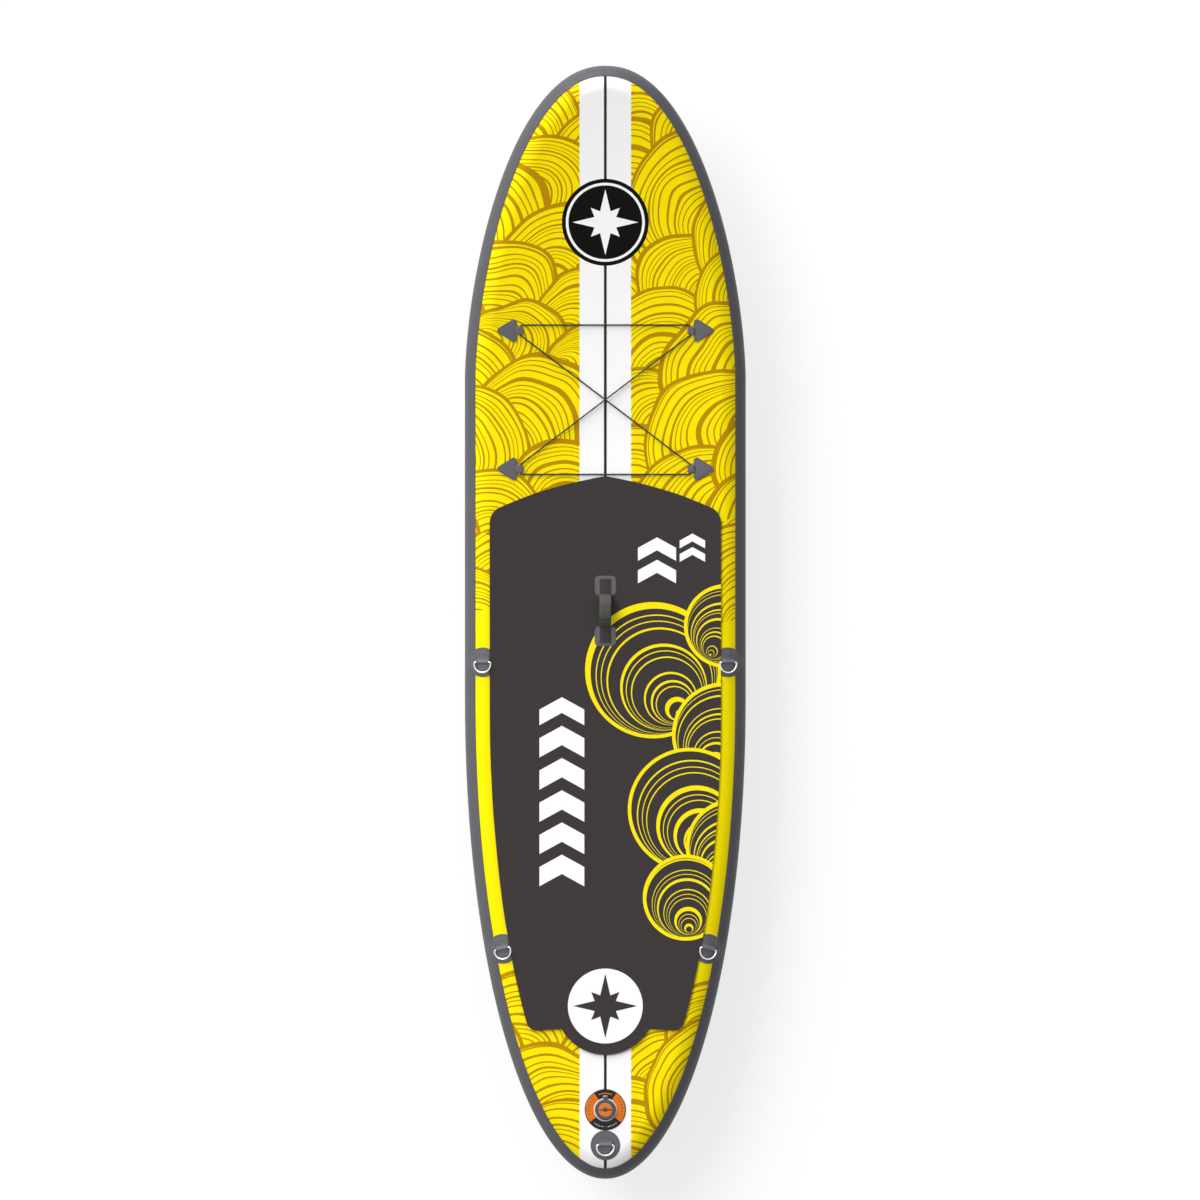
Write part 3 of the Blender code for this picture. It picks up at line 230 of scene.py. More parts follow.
def piece(name, verts, faces, uvs=None):
    """A mesh object, smooth-shaded but for its sharp edges."""
    mesh = bpy.data.meshes.new(name)
    mesh.from_pydata([tuple(map(float, v)) for v in verts], [], [tuple(map(int, f)) for f in faces])
    if uvs is not None:
        mesh.uv_layers.new(name="metres").data.foreach_set("uv", np.asarray(uvs, np.float32).ravel())
    return shade(linked(name, mesh))

def piece_from(name, bm, sharp=35, outwards=True):
    """A mesh object from a bmesh, whose faces are turned outwards unless they are right already."""
    if outwards:
        bmesh.ops.recalc_face_normals(bm, faces=bm.faces)
    mesh = bpy.data.meshes.new(name)
    bm.to_mesh(mesh)
    bm.free()
    return shade(linked(name, mesh), sharp)

def facing_out(made, sharp=35):
    """Turn the faces of a closed mesh outwards, and drop its slivers."""
    bm = bmesh.new()
    bm.from_mesh(made.data)
    bmesh.ops.dissolve_degenerate(bm, edges=bm.edges, dist=2e-6)
    bmesh.ops.recalc_face_normals(bm, faces=bm.faces)
    bm.to_mesh(made.data)
    bm.free()
    return shade(made, sharp)

def modified(made, kind, **settings):
    """Add a modifier."""
    having(made.modifiers.new(kind.lower(), kind), **settings)
    return made

def thicken(made, thickness, offset=1.0):
    """Give an open sheet its thickness: offset 1 is outwards, -1 inwards and 0 both ways."""
    return modified(made, "SOLIDIFY", thickness=thickness, offset=offset, use_even_offset=True)

def round_edges(made, width, segments=2, angle=40):
    """Round the edges over an angle."""
    angle = math.radians(angle)
    return modified(made, "BEVEL", width=width, segments=segments, limit_method="ANGLE", angle_limit=angle)

def settled(made, flat=False):
    """Apply the piece's modifiers to its mesh, and keep its flat faces flat in the light."""
    if flat:
        modified(made, "WEIGHTED_NORMAL", keep_sharp=True)
    graph = bpy.context.evaluated_depsgraph_get()
    mesh = bpy.data.meshes.new_from_object(made.evaluated_get(graph))
    made.modifiers.clear()
    made.data = mesh
    return made if flat else shade(made)

def joined(name, pieces, sharp=35):
    """One object from several."""
    bpy.context.view_layer.update()
    bm = bmesh.new()
    for one in pieces:
        start = len(bm.verts)
        bm.from_mesh(one.data)
        bm.verts.ensure_lookup_table()
        bmesh.ops.transform(bm, verts=bm.verts[start:], matrix=one.matrix_world)
        bpy.data.objects.remove(one, do_unlink=True)
    return piece_from(name, bm, sharp, outwards=False)

def unit(vectors):
    """The vectors at length one."""
    return vectors / np.linalg.norm(vectors, axis=-1, keepdims=True)

def distances(points):
    """How far along a line each of its points lies."""
    return np.concatenate(([0.0], np.cumsum(np.linalg.norm(np.diff(points, axis=0), axis=1))))

def read_off(places, along, points):
    """Points at places between those of a line, which lie at distances along it."""
    return np.column_stack([np.interp(places, along, axis) for axis in points.T])

def grid_faces(rows, columns, wrap_rows=False, wrap_columns=False):
    """Quads between the points of a grid."""
    faces = []
    for r in range(rows if wrap_rows else rows - 1):
        for c in range(columns if wrap_columns else columns - 1):
            here, below, beside = r * columns, (r + 1) % rows * columns, (c + 1) % columns
            faces.append((here + c, here + beside, below + beside, below + c))
    return faces

def end_faces(rows, around):
    """The two faces that close a tube."""
    return [tuple(reversed(range(around))), tuple(range((rows - 1) * around, rows * around))]

def arc(centre, radius, first, last, steps):
    """Points on a circle, from the first to the last angle in degrees."""
    angles = np.radians(np.linspace(first, last, steps + 1))
    return [(centre[0] + radius * math.cos(a), centre[1] + radius * math.sin(a)) for a in angles]

def rounded_box(size, corner, y=0.0, steps=6):
    """The outline of a rectangle with round corners, about (0, y)."""
    points = []
    for quarter, (sx, sy) in enumerate(((1, 1), (-1, 1), (-1, -1), (1, -1))):
        middle = (sx * (size[0] / 2 - corner), y + sy * (size[1] / 2 - corner))
        points += arc(middle, corner, 90 * quarter, 90 * quarter + 90, steps)
    return points

def circle(radius, sides):
    """Points round a circle, for a section."""
    return arc((0.0, 0.0), radius, 0, 360 - 360 / sides, sides - 1)

def plump(width, height, powers, sides):
    """A section between an oval and a box."""
    a = np.radians(np.arange(sides) * 360 / sides)
    return np.column_stack([
        size / 2 * np.sign(part) * np.abs(part) ** power
        for size, part, power in zip((width, height), (np.cos(a), np.sin(a)), powers)
    ])

def rounded_ends(inset, reach, least):
    """Scales of a section that shrinks over a reach of its path's ends, to the least x and y."""
    least = np.array(least)
    return least + (1 - least) * np.clip(inset / reach, 0, 1)[:, None] ** 0.5

def smooth(points, steps):
    """A Catmull-Rom curve through the points."""
    p = np.asarray(points, float)
    padded = np.vstack((2 * p[0] - p[1], p, 2 * p[-1] - p[-2]))
    out = []
    for before, start, after, beyond in zip(padded, padded[1:], padded[2:], padded[3:]):
        for t in np.arange(steps) / steps:
            out.append(0.5 * (
                2 * start + (after - before) * t
                + (2 * before - 5 * start + 4 * after - beyond) * t ** 2
                + (3 * start - before - 3 * after + beyond) * t ** 3
            ))
    return np.array(out + [p[-1]])

def sweep(path, section, up, closed=False, scale=1.0):
    """Points, faces and UVs in metres of a section carried along a path."""
    path, section = np.asarray(path, float), np.asarray(section, float)
    count, around = len(path), len(section)
    ahead = unit(np.roll(path, -1, 0) - np.roll(path, 1, 0) if closed else np.gradient(path, axis=0))
    side = unit(np.cross(ahead, np.broadcast_to(np.asarray(up, float), path.shape)))
    top = np.cross(side, ahead)
    shape = section[None] * np.broadcast_to(scale, (count, 2))[:, None]
    points = path[:, None] + side[:, None] * shape[..., :1] + top[:, None] * shape[..., 1:]
    u, v = (distances(np.vstack((line, line[:1]))) for line in (section, path))
    faces, uvs = grid_faces(count, around, closed, True), []
    for r in range(count if closed else count - 1):
        for c in range(around):
            uvs += [(u[c], v[r]), (u[c + 1], v[r]), (u[c + 1], v[r + 1]), (u[c], v[r + 1])]
    if not closed:
        faces += end_faces(count, around)
        uvs += [(u[c], 0.0) for c in reversed(range(around))]
        uvs += [(u[c], v[count - 1]) for c in range(around)]
    return points.reshape(-1, 3), faces, uvs

def swept(name, path, section, up, closed=False, scale=1.0):
    """A piece made of a section carried along a path."""
    return facing_out(piece(name, *sweep(path, section, up, closed, scale)))

def eased(profile, radius, steps=3):
    """The profile with its corners rounded, but for those on the axis."""
    p = np.asarray(profile, float)
    out = []
    for before, here, after in zip(np.roll(p, 1, 0), p, np.roll(p, -1, 0)):
        if here[0] < 1e-9:
            out.append(tuple(here))
            continue
        back, ahead = before - here, after - here
        reach = min(radius, np.linalg.norm(back) / 2.2, np.linalg.norm(ahead) / 2.2)
        a, b = here + unit(back) * reach, here + unit(ahead) * reach
        for t in np.linspace(0, 1, steps + 1):
            out.append(tuple((1 - t) ** 2 * a + 2 * t * (1 - t) * here + t * t * b))
    return out

def turned(name, profile, ease=0.0004, sides=96, place=VALVE, flutes=()):
    """A piece turned from a closed profile of (radius, height). Flutes are (count, depth, lowest radius)."""
    bm = bmesh.new()
    made = []
    for radius, height in eased(profile, ease):
        for a in np.radians(np.arange(sides) * 360 / sides):
            r = radius
            if flutes and radius >= flutes[2]:
                r -= flutes[1] * (0.5 - 0.5 * math.cos(flutes[0] * a)) ** 2
            spot = (place[0] + r * math.cos(a), place[1] + r * math.sin(a), place[2] + height)
            made.append(bm.verts.new(spot))
    for face in grid_faces(len(made) // sides, sides, True, True):
        bm.faces.new([made[i] for i in face])
    bmesh.ops.remove_doubles(bm, verts=bm.verts, dist=1e-6)
    bmesh.ops.dissolve_degenerate(bm, edges=bm.edges, dist=1e-7)
    stray = [edge for edge in bm.edges if not edge.link_faces]
    bmesh.ops.delete(bm, geom=stray, context="EDGES")
    return piece_from(name, bm)

def ring_profile(outer, inner, high, low):
    """The profile of a plain ring."""
    return [(outer, high), (outer, low), (inner, low), (inner, high)]

def everything(bm):
    """All that a bmesh holds."""
    return list(bm.verts) + list(bm.edges) + list(bm.faces)

def plate(name, outlines, thickness, rounding, segments=3, low=ON_DECK):
    """A flat plate with holes and rounded edges, laid on the deck's curve."""
    bm = bmesh.new()
    for outline in outlines:
        ring = [bm.verts.new((x, y, 0.0)) for x, y in outline]
        for a, b in zip(ring, ring[1:] + ring[:1]):
            bm.edges.new((a, b))
    bmesh.ops.triangle_fill(bm, edges=bm.edges, use_beauty=True, use_dissolve=False)
    ys = [v.co.y for v in bm.verts]
    for y in np.arange(NOSE_ROCKER_START, max(ys), 0.01):
        if y > min(ys):
            bmesh.ops.bisect_plane(bm, geom=everything(bm), plane_co=(0, y, 0), plane_no=(0, 1, 0), dist=1e-6)
    top = bmesh.ops.extrude_face_region(bm, geom=list(bm.faces))
    for v in top["geom"]:
        if isinstance(v, bmesh.types.BMVert):
            v.co.z += thickness
    for v in bm.verts:
        v.co.z += low + float(rocker(v.co.y))
    return settled(round_edges(piece_from(name, bm), rounding, segments, 60), flat=True)

def brick(size, centre, rounding):
    """A box with rounded edges."""
    bm = bmesh.new()
    bmesh.ops.create_cube(bm, size=1.0, matrix=Matrix.Translation(centre) @ Matrix.Diagonal((*size, 1.0)))
    return settled(round_edges(piece_from("brick", bm), rounding))

class Stitching:
    """Thread stitches that become one piece."""

    def __init__(self):
        self.verts, self.faces, self.uvs = [], [], []

    def sew(self, path, normals, pitch, share, thread, closed=False):
        """Stitches along a path on a surface: each takes a share of the pitch."""
        path, normals = np.asarray(path, float), np.asarray(normals, float)
        if closed:
            path, normals = np.vstack((path, path[:1])), np.vstack((normals, normals[:1]))
        along = distances(path)
        count = max(1, round(along[-1] / pitch))
        t = np.linspace(0, 1, 5)
        lift = 0.00022 * np.sin(math.pi * t) + 0.00002
        taper = np.repeat([[0.55], [0.95], [1.0], [0.95], [0.55]], 2, axis=1)
        for i in range(count):
            s = (i + (1 - share) / 2 + share * t) * along[-1] / count
            here, out = read_off(s, along, path), unit(read_off(s, along, normals))
            verts, faces, uvs = sweep(here + out * lift[:, None], circle(thread, 6), out, scale=taper)
            start = len(self.verts)
            self.verts += [tuple(v) for v in verts]
            self.faces += [tuple(k + start for k in face) for face in faces]
            self.uvs += uvs

    def finish(self, name, body):
        dress(facing_out(piece(name, self.verts, self.faces, self.uvs)), THREAD, body)

# The hull's surface

def rocker(y):
    """How far the deck and bottom lie above their flat middles."""
    share = np.clip((np.asarray(y, float) - NOSE_ROCKER_START) / (LENGTH / 2 - NOSE_ROCKER_START), 0, None)
    return NOSE_RISE * share ** NOSE_ROCKER_POWER

def hull_end(start, tip, powers, sign):
    """Stations on the skins' right edge from the straight side to a tip: x, y and the normal."""
    half, (along, across) = WIDTH / 2 - PROUD, powers
    reach = abs(tip - start)
    t = np.linspace(0, math.pi / 2, 61)
    s = np.sin(t) ** (2 / along)
    c = np.clip(np.cos(t), 0, None) ** (2 / across)
    c[-1] = 0.0
    normal = unit(np.column_stack((
        across / half * c ** (across - 1), sign * along / reach * s ** (along - 1),
    )))
    return np.column_stack((half * c, start + sign * reach * s, normal))

SIDE_Y = np.linspace(TAIL_START, NOSE_START, 13)[1:-1]
RIGHT = np.vstack((
    hull_end(TAIL_START, -LENGTH / 2 + PROUD, TAIL_POWERS, -1)[::-1],
    [(WIDTH / 2 - PROUD, y, 1.0, 0.0) for y in SIDE_Y],
    hull_end(NOSE_START, LENGTH / 2 - PROUD, NOSE_POWERS, 1),
))
AROUND = np.vstack((RIGHT, (RIGHT * (-1, 1, -1, 1))[-2:0:-1]))

def side_rows(stations, angles, grow):
    """Rows of points on the hull's side, one row for each angle up from the rail's middle."""
    rows = []
    for a in np.radians(angles):
        inset = SIDE_RADIUS - (SIDE_RADIUS + grow) * math.cos(a)
        height = THICKNESS / 2 + (THICKNESS / 2 + grow) * math.sin(a)
        x, y = (stations[:, :2] - stations[:, 2:] * inset).T
        rows.append(np.column_stack((x, y, height + rocker(y))))
    return np.array(rows)

def skin(name, sign):
    """The deck (sign 1) or bottom (sign -1) fabric, in one sheet from seam to seam."""
    rows = side_rows(AROUND, sign * np.linspace(SEAM_ANGLE, 90, 21), 0.0)
    count = len(AROUND)
    faces = grid_faces(len(rows), count, False, True)
    last = (len(rows) - 1) * count
    for i in range(len(RIGHT) - 1):
        loop = (last + i, last + i + 1, last + (count - i - 1) % count, last + (count - i) % count)
        faces.append(tuple(dict.fromkeys(loop)))
    made = piece(name, rows.reshape(-1, 3), faces)
    bm = bmesh.new()
    bm.from_mesh(made.data)
    bmesh.ops.recalc_face_normals(bm, faces=bm.faces)
    if sum(f.normal.z * f.calc_area() for f in bm.faces) * sign < 0:
        bmesh.ops.reverse_faces(bm, faces=bm.faces)
    bm.to_mesh(made.data)
    bm.free()
    return settled(thicken(shade(made), SKIN, -1))

def rail_tape(name, side):
    """The tape over the seams round one side, from the tail's middle to the nose's."""
    rows = side_rows(RIGHT, np.linspace(BAND_ANGLE, -BAND_ANGLE, 37), GAP)
    rows[:, :, 0] = side * np.maximum(rows[:, :, 0], TAPE_BUTT)
    faces = grid_faces(len(rows), len(RIGHT))
    if side > 0:
        faces = [tuple(reversed(f)) for f in faces]
    made = thicken(piece(name, rows.reshape(-1, 3), faces), SKIN)
    return settled(round_edges(made, 0.0005, 2, 60))

def edge_distance(x, y):
    """Distances of points of the plan inside the skins' outline."""
    p = np.column_stack((np.abs(x), y))
    a, along = RIGHT[:-1, :2], np.diff(RIGHT[:, :2], axis=0)
    rel = p[:, None] - a[None]
    share = np.clip((rel * along).sum(2) / (along ** 2).sum(1), 0, 1)
    return np.linalg.norm(rel - share[..., None] * along, axis=2).min(1)

def lay(x, y, lift=0.0):
    """Heights of a layer that lies on the deck and over the edge of the rail tape."""
    x, y = np.atleast_1d(np.asarray(x, float)), np.atleast_1d(np.asarray(y, float))
    inset = edge_distance(x, y)
    plain = np.degrees(np.arccos(np.clip(1 - inset / SIDE_RADIUS, 0, 1)))
    down = np.clip((plain - BAND_ANGLE) / BAND_RUN_OUT, 0, 1)
    grow = lift + BAND_OUT + (GAP - BAND_OUT) * down * down * (3 - 2 * down)
    cosine = np.clip((SIDE_RADIUS - inset) / (SIDE_RADIUS + grow), 0, 1)
    return THICKNESS / 2 + (THICKNESS / 2 + grow) * np.sqrt(1 - cosine ** 2) + rocker(y)

def lay_normals(x, y, reach=0.0015):
    """Directions off the layer at points of the plan."""
    across = (lay(x + reach, y) - lay(x - reach, y)) / (2 * reach)
    along = (lay(x, y + reach) - lay(x, y - reach)) / (2 * reach)
    return unit(np.column_stack((-across, -along, np.ones_like(across))))

# Materials

def srgb(*colour):
    """A colour from its 0 to 255 values."""
    parts = (value / 255 for value in colour)
    return tuple(part / 12.92 if part <= 0.04045 else ((part + 0.055) / 1.055) ** 2.4 for part in parts)

class Field:
    """A value that varies over a surface. Arithmetic on it adds Math nodes."""

    def __init__(self, nodes, socket):
        self.nodes, self.socket = nodes, socket

    def binary(operation):
        return lambda self, other: self.nodes.math(operation, self, other)

    __add__ = __radd__ = binary("ADD")
    __mul__ = __rmul__ = binary("MULTIPLY")
    __sub__, __truediv__ = binary("SUBTRACT"), binary("DIVIDE")
    __lt__, __gt__ = binary("LESS_THAN"), binary("GREATER_THAN")

    def __rsub__(self, other):
        return self.nodes.math("SUBTRACT", other, self)

    def __abs__(self):
        return self.nodes.math("ABSOLUTE", self)

class Nodes:
    """Adds nodes to a tree."""

    def __init__(self, tree):
        self.tree = tree

    def put(self, socket, value):
        if isinstance(value, Field):
            self.tree.links.new(value.socket, socket)
        else:
            socket.default_value = (*value, 1.0) if socket.type == "RGBA" else value

    def node(self, kind, inputs=(), **settings):
        """A node with its settings, and its inputs by name or number."""
        made = having(self.tree.nodes.new(kind), **settings)
        for socket, value in dict(inputs).items():
            self.put(made.inputs[socket], value)
        return made

    def field(self, kind, inputs=(), out=0, **settings):
        """One output of such a node."""
        return Field(self, self.node(kind, inputs, **settings).outputs[out])

    def math(self, operation, *values):
        return self.field("ShaderNodeMath", enumerate(values), operation=operation)

    def join(self, x, y, z=0.0):
        return self.field("ShaderNodeCombineXYZ", enumerate((x, y, z)))

    def split(self, vector):
        return [Field(self, out) for out in self.node("ShaderNodeSeparateXYZ", {0: vector}).outputs]

    def mix(self, share, first, second):
        """A colour between two."""
        return self.field("ShaderNodeMix", {0: share, 6: first, 7: second}, 2, data_type="RGBA")

    def radius(self, x, y):
        return self.math("SQRT", x * x + y * y)

    def sine(self, value, pitch):
        """A wave of the pitch in metres, from -1 to 1."""
        return self.math("SINE", value * (2 * math.pi / pitch))

class Look(Nodes):
    """A procedural material for one of the record's slots."""

    def __init__(self, name, slot, colour, roughness, metallic=0.0, specular=0.5):
        self.made = bpy.data.materials.new(name)
        self.made.use_nodes = True
        super().__init__(self.made.node_tree)
        self.shader = self.tree.nodes["Principled BSDF"]
        self.slot, self.roughness = slot, roughness
        self.set("Base Color", colour)
        self.set("Roughness", roughness)
        self.set("Metallic", metallic)
        self.set("Specular IOR Level", specular)
        self.coordinates = self.node("ShaderNodeTexCoord").outputs

    def set(self, socket, value):
        self.put(self.shader.inputs[socket], value)

    def place(self):
        """Fields of the point's x, y and z."""
        return self.split(Field(self, self.coordinates["Object"]))

    def metres(self):
        """Fields of the distances across and along a swept piece."""
        return self.split(Field(self, self.coordinates["UV"]))[:2]

    def noise(self, scale, detail=2.0, stretch=None):
        """Soft noise about 0.5, at a scale in waves a metre."""
        at = Field(self, self.coordinates["Object"])
        if stretch:
            at = self.field("ShaderNodeMapping", {"Vector": at, "Scale": stretch})
        return self.field("ShaderNodeTexNoise", {"Vector": at, "Scale": scale, "Detail": detail})

    def tinted(self, colour, share, low, high):
        """The colour darkened and lightened a little by a field."""
        return self.field("ShaderNodeHueSaturation", {"Color": colour, "Value": share * (high - low) + low})

    def finish(self, colour, height, scale=9.0, spread=0.14):
        """Set the colour, the relief in metres, and a roughness as uneven as from handling."""
        self.set("Base Color", colour)
        self.set("Normal", self.field("ShaderNodeBump", {"Strength": 1.0, "Distance": 1.0, "Height": height}))
        if spread:
            self.set("Roughness", self.noise(scale, 4.0) * spread + (self.roughness - spread / 2))
        return self

def either(*masks):
    """1 where any of the masks is."""
    total = masks[0]
    for mask in masks[1:]:
        total = total.nodes.math("MAXIMUM", total, mask)
    return total

def coated_relief(look):
    """Height of coated drop-stitch fabric: its weave, its rows of yarn dimples and a slight sag."""
    x, y, _ = look.place()
    weave = look.sine(x, 0.0009) * look.sine(y, 0.0009) * 0.000008
    dimples = look.sine(x, 0.0052) * look.sine(y, 0.0041) * 0.00003
    return weave + dimples + look.noise(55.0, 2.0) * 0.0001

def star(look, u, v, tip, waist):
    """1 inside a star about (0, 0) with four points, one of them at +v."""
    turn = math.pi / 2
    angle = look.math("ARCTAN2", u, v)
    fold = abs(look.math("FRACT", angle / turn + 0.5) - 0.5) * turn
    radius = look.radius(u, v)
    across = waist * math.sin(turn / 2)
    inwards = waist * math.cos(turn / 2) - tip
    beyond = (radius * look.math("COSINE", fold) - tip) * across
    return (beyond - radius * look.math("SINE", fold) * inwards) < 0.0

def compass(look, u, v, size):
    """1 inside a plain compass rose."""
    diagonal = math.sqrt(0.5)
    long = star(look, u, v, size, 0.27 * size)
    short = star(look, (u + v) * diagonal, (v - u) * diagonal, 0.62 * size, 0.27 * size)
    return either(long, short)

def nested(look, u, v, discs, lines, thick, bold):
    """Scales with nested arcs, the later over the earlier: shares of outline and of fine line.
    Each disc is its centre, radius and tilt, and whether it is drawn."""
    state, drawn = look.join(0.0, 0.0, 10.0), look.join(0.0, 0.0)
    here = look.join(u, v)
    for x, y, radius, tilt, shown in discs:
        ends = {0: here, 1: look.join(x, y)}
        inside = look.field("ShaderNodeVectorMath", ends, "Value", operation="DISTANCE") < radius
        state, drawn = [
            look.field("ShaderNodeMix", {0: inside, 4: old, 5: new}, 1, data_type="VECTOR")
            for old, new in ((state, look.join(x, y, radius)), (drawn, look.join(tilt, shown)))
        ]
    cx, cy, radius = look.split(state)
    tilt, shown, _ = look.split(drawn)
    qx, qy = (u - cx) / radius, (v - cy) / radius
    lean = 0.8
    square = qx * qx + qy * qy
    along = qx * look.math("SINE", tilt) - qy * look.math("COSINE", tilt)
    half = 1.0 - along * lean
    root = look.math("SQRT", look.math("MAXIMUM", half * half - (1.0 - square) * (1 - lean ** 2), 0.0))
    depth = (half - root) * (1 / (1 - lean ** 2))
    wavy = depth * lines + look.math("SINE", depth * 23.0 + tilt * 5.0) * 0.35
    strong = look.math("FRACT", look.math("FLOOR", wavy) * 0.25) < 0.1
    fine = look.math("FRACT", wavy) < (strong * 0.22 + bold)
    rim = (1.0 - look.math("SQRT", square)) * radius < thick
    return rim * shown, fine * shown

def scattered_discs(look, u, v, sine, cosine):
    """Jittered, turned rows of overlapping scales, the lower rows over the others."""
    least, most = SCALE_RADIUS
    first = look.math("CEIL", (v - (most + SCALE_JITTER / 2)) / SCALE_ROW)
    for step in (2.0, 1.0, 0.0):
        r = first + step
        shift = look.math("FRACT", r * 0.5)
        k0 = look.math("FLOOR", u / SCALE_COLUMN - shift)
        for k in (k0, k0 + 1.0):
            at = {"Vector": look.join(k, r)}
            a, b, c = look.split(look.field("ShaderNodeTexWhiteNoise", at, "Color", noise_dimensions="2D"))
            x = (k + shift) * SCALE_COLUMN + (a - 0.5) * SCALE_JITTER
            y = r * SCALE_ROW + (b - 0.5) * SCALE_JITTER
            along = x * sine + y * cosine
            left = (x * cosine - y * sine) < 0.0
            low, high = (left * (one - other) + other for one, other in zip(PLAIN_LEFT, PLAIN_RIGHT))
            plain = (along > low) * (along < high)
            yield x, y, c * (most - least) + least, (a - b) * 1.9, 1.0 - plain

YELLOW = srgb(250, 229, 0)
OCHRE = srgb(184, 138, 4)
WHITE = (0.95, 0.95, 0.95)
BLACK = srgb(8, 7, 6)
LINE = srgb(50, 46, 46)
PVC_GREY = srgb(92, 91, 96)
FOAM = srgb(57, 51, 51)
ORANGE = srgb(214, 112, 16)

def deck_look():
    """The printed deck: scales on yellow, a white stripe with its line, and the nose mark."""
    look = Look("deck_fabric", "deck_fabric", YELLOW, 0.58, specular=0.07)
    x, y, _ = look.place()
    across = x + (look.noise(2.3, 2.0) - 0.5) * 0.15
    along = y + (look.noise(2.9, 2.0) - 0.5) * 0.11
    angle = (x > 0.0) * 0.95 - 0.42
    sine, cosine = look.math("SINE", angle), look.math("COSINE", angle)
    u = across * cosine + along * sine
    v = along * cosine - across * sine
    rim, fine = nested(look, u, v, scattered_discs(look, u, v, sine, cosine), 19.0, 0.0096, 0.24)
    colour = look.mix(either(rim, fine), YELLOW, OCHRE)
    colour = look.mix(abs(x) < STRIPE_HALF_WIDTH, colour, WHITE)
    line = (abs(x) < CENTRE_LINE_HALF_WIDTH) * (look.radius(x, y - VALVE_Y) > 0.045)
    colour = look.mix(line, colour, LINE)
    radius = look.radius(x, y - NOSE_MARK_Y)
    colour = look.mix(radius < 0.116, colour, BLACK)
    colour = look.mix((radius < 0.1055) * (radius > 0.0985), colour, WHITE)
    colour = look.mix(compass(look, x, y - NOSE_MARK_Y, 0.088), colour, WHITE)
    return look.finish(look.tinted(colour, look.noise(6.0, 3.0), 0.97, 1.02), coated_relief(look))

def chevrons(look, u, v, half_width, low, high, pitch, share):
    """1 inside a column of chevrons that point to +v."""
    rise = v + abs(u) * 0.55
    bars = look.math("FRACT", (rise - low) / pitch) < share
    return bars * ((abs(u) < half_width) * (rise > low) * (rise < high))

def foam_look():
    """The foam pad, with its inlaid marks."""
    look = Look("deck_pad_foam", "eva_foam", FOAM, 0.85, specular=0.2)
    x, y, z = look.place()
    top = z > ON_DECK + PAD_THICKNESS - 0.0016
    lines = either(*nested(look, x, y, PAD_DISCS, 12.0, 0.0095, 0.19)) * top
    marks = either(
        chevrons(look, x + 0.116, y, 0.060, -0.672, -0.200, 0.086, 0.60),
        chevrons(look, x - 0.138, y, 0.051, 0.132, 0.246, 0.060, 0.58),
        chevrons(look, x - 0.2325, y, 0.034, 0.180, 0.246, 0.036, 0.58),
    )
    across, along = x, y - PAD_MARK_Y
    disc = (look.radius(across, along) < 0.100) * (1.0 - compass(look, across, along, 0.086))
    colour = look.mix(disc, look.mix(marks, look.mix(lines, FOAM, YELLOW), WHITE), WHITE)
    grain = look.noise(900.0, 3.0) * 0.00016 + look.noise(160.0, 2.0) * 0.00012
    return look.finish(
        look.tinted(colour, look.noise(240.0, 3.0), 0.93, 1.05),
        grain + either(lines, marks, disc) * 0.0002, 20.0, 0.1,
    )

def plain_fabric(name, slot, colour, roughness=0.44, specular=0.3):
    """Coated fabric of one colour."""
    look = Look(name, slot, colour, roughness, specular=specular)
    scuffs = look.noise(14.0, 5.0, stretch=(1.0, 0.25, 1.0))
    return look.finish(look.tinted(colour, scuffs, 0.92, 1.08), coated_relief(look))

def patch_look():
    """Welded patch fabric, with a fine crosswise ribbing."""
    look = Look("patch_fabric", "patch", PVC_GREY, 0.5, specular=0.35)
    x, y, _ = look.place()
    ribs = look.sine(y, 0.0016) * look.sine(x, 0.0016) * 0.00003
    colour = look.tinted(PVC_GREY, look.noise(60.0, 4.0), 0.93, 1.07)
    return look.finish(colour, ribs + look.noise(220.0, 2.0) * 0.00008, 40.0)

def woven_look(name, slot, colour, pitch, roughness=0.8):
    """Narrow woven webbing: ribs across it and a twill, with painted shade in their hollows and painted
    highlight on the ribs.
    """
    look = Look(name, slot, colour, roughness, specular=0.25)
    u, v = look.metres()
    rib = look.sine(v, pitch)
    twill = look.sine(u + v * 0.5, pitch * 1.6)
    height = rib * 0.00007 + twill * 0.00005 + look.noise(2500.0, 1.0) * 0.00004
    # painted shade and highlight: the colour follows the relief's height, darker where it is low and lighter
    # where it is high
    return look.finish(look.tinted(colour, rib * 0.5 + twill * 0.3 + 0.5, 0.75, 1.2), height, 30.0, 0.08)

def handle_look():
    """The handle's webbing: lighter between its patches, and lightest at its woven edges."""
    look = woven_look("handle_webbing", "webbing", srgb(60, 55, 55), 0.0022)
    u, v = look.metres()
    edge = abs(look.math("FRACT", u / WEBBING_HALF_GIRTH + 0.02) - 0.5) > 0.43
    share = either(edge * 0.55, (v > WEBBING_FLAT) * 0.4)
    woven = Field(look, look.shader.inputs["Base Color"].links[0].from_socket)
    look.set("Base Color", look.mix(share, woven, srgb(92, 93, 88)))
    return look

def braid_look():
    """The elastic cord's braided cover, with painted shade in its grooves and painted highlight on its
    strands, and a lighter tracer thread.
    """
    colour = srgb(34, 32, 31)
    look = Look("bungee_braid", "elastic", colour, 0.6, specular=0.3)
    u, v = look.metres()
    girth = math.pi * CORD
    slant = v / 0.008
    one = look.math("SINE", (u / girth * 4.0 + slant) * (2 * math.pi))
    other = look.math("SINE", (u / girth * 4.0 - slant) * (2 * math.pi))
    weave = either(one, other)
    tracer = (look.math("FRACT", u / girth + v / 0.032) < 0.07) * 0.9
    # painted shade and highlight: the braid's colour is darker in the grooves of its relief and lighter on
    # its raised strands
    colour = look.mix(tracer, look.tinted(colour, weave, 0.7, 1.3), srgb(110, 108, 104))
    return look.finish(colour, weave * 0.00016, spread=0)

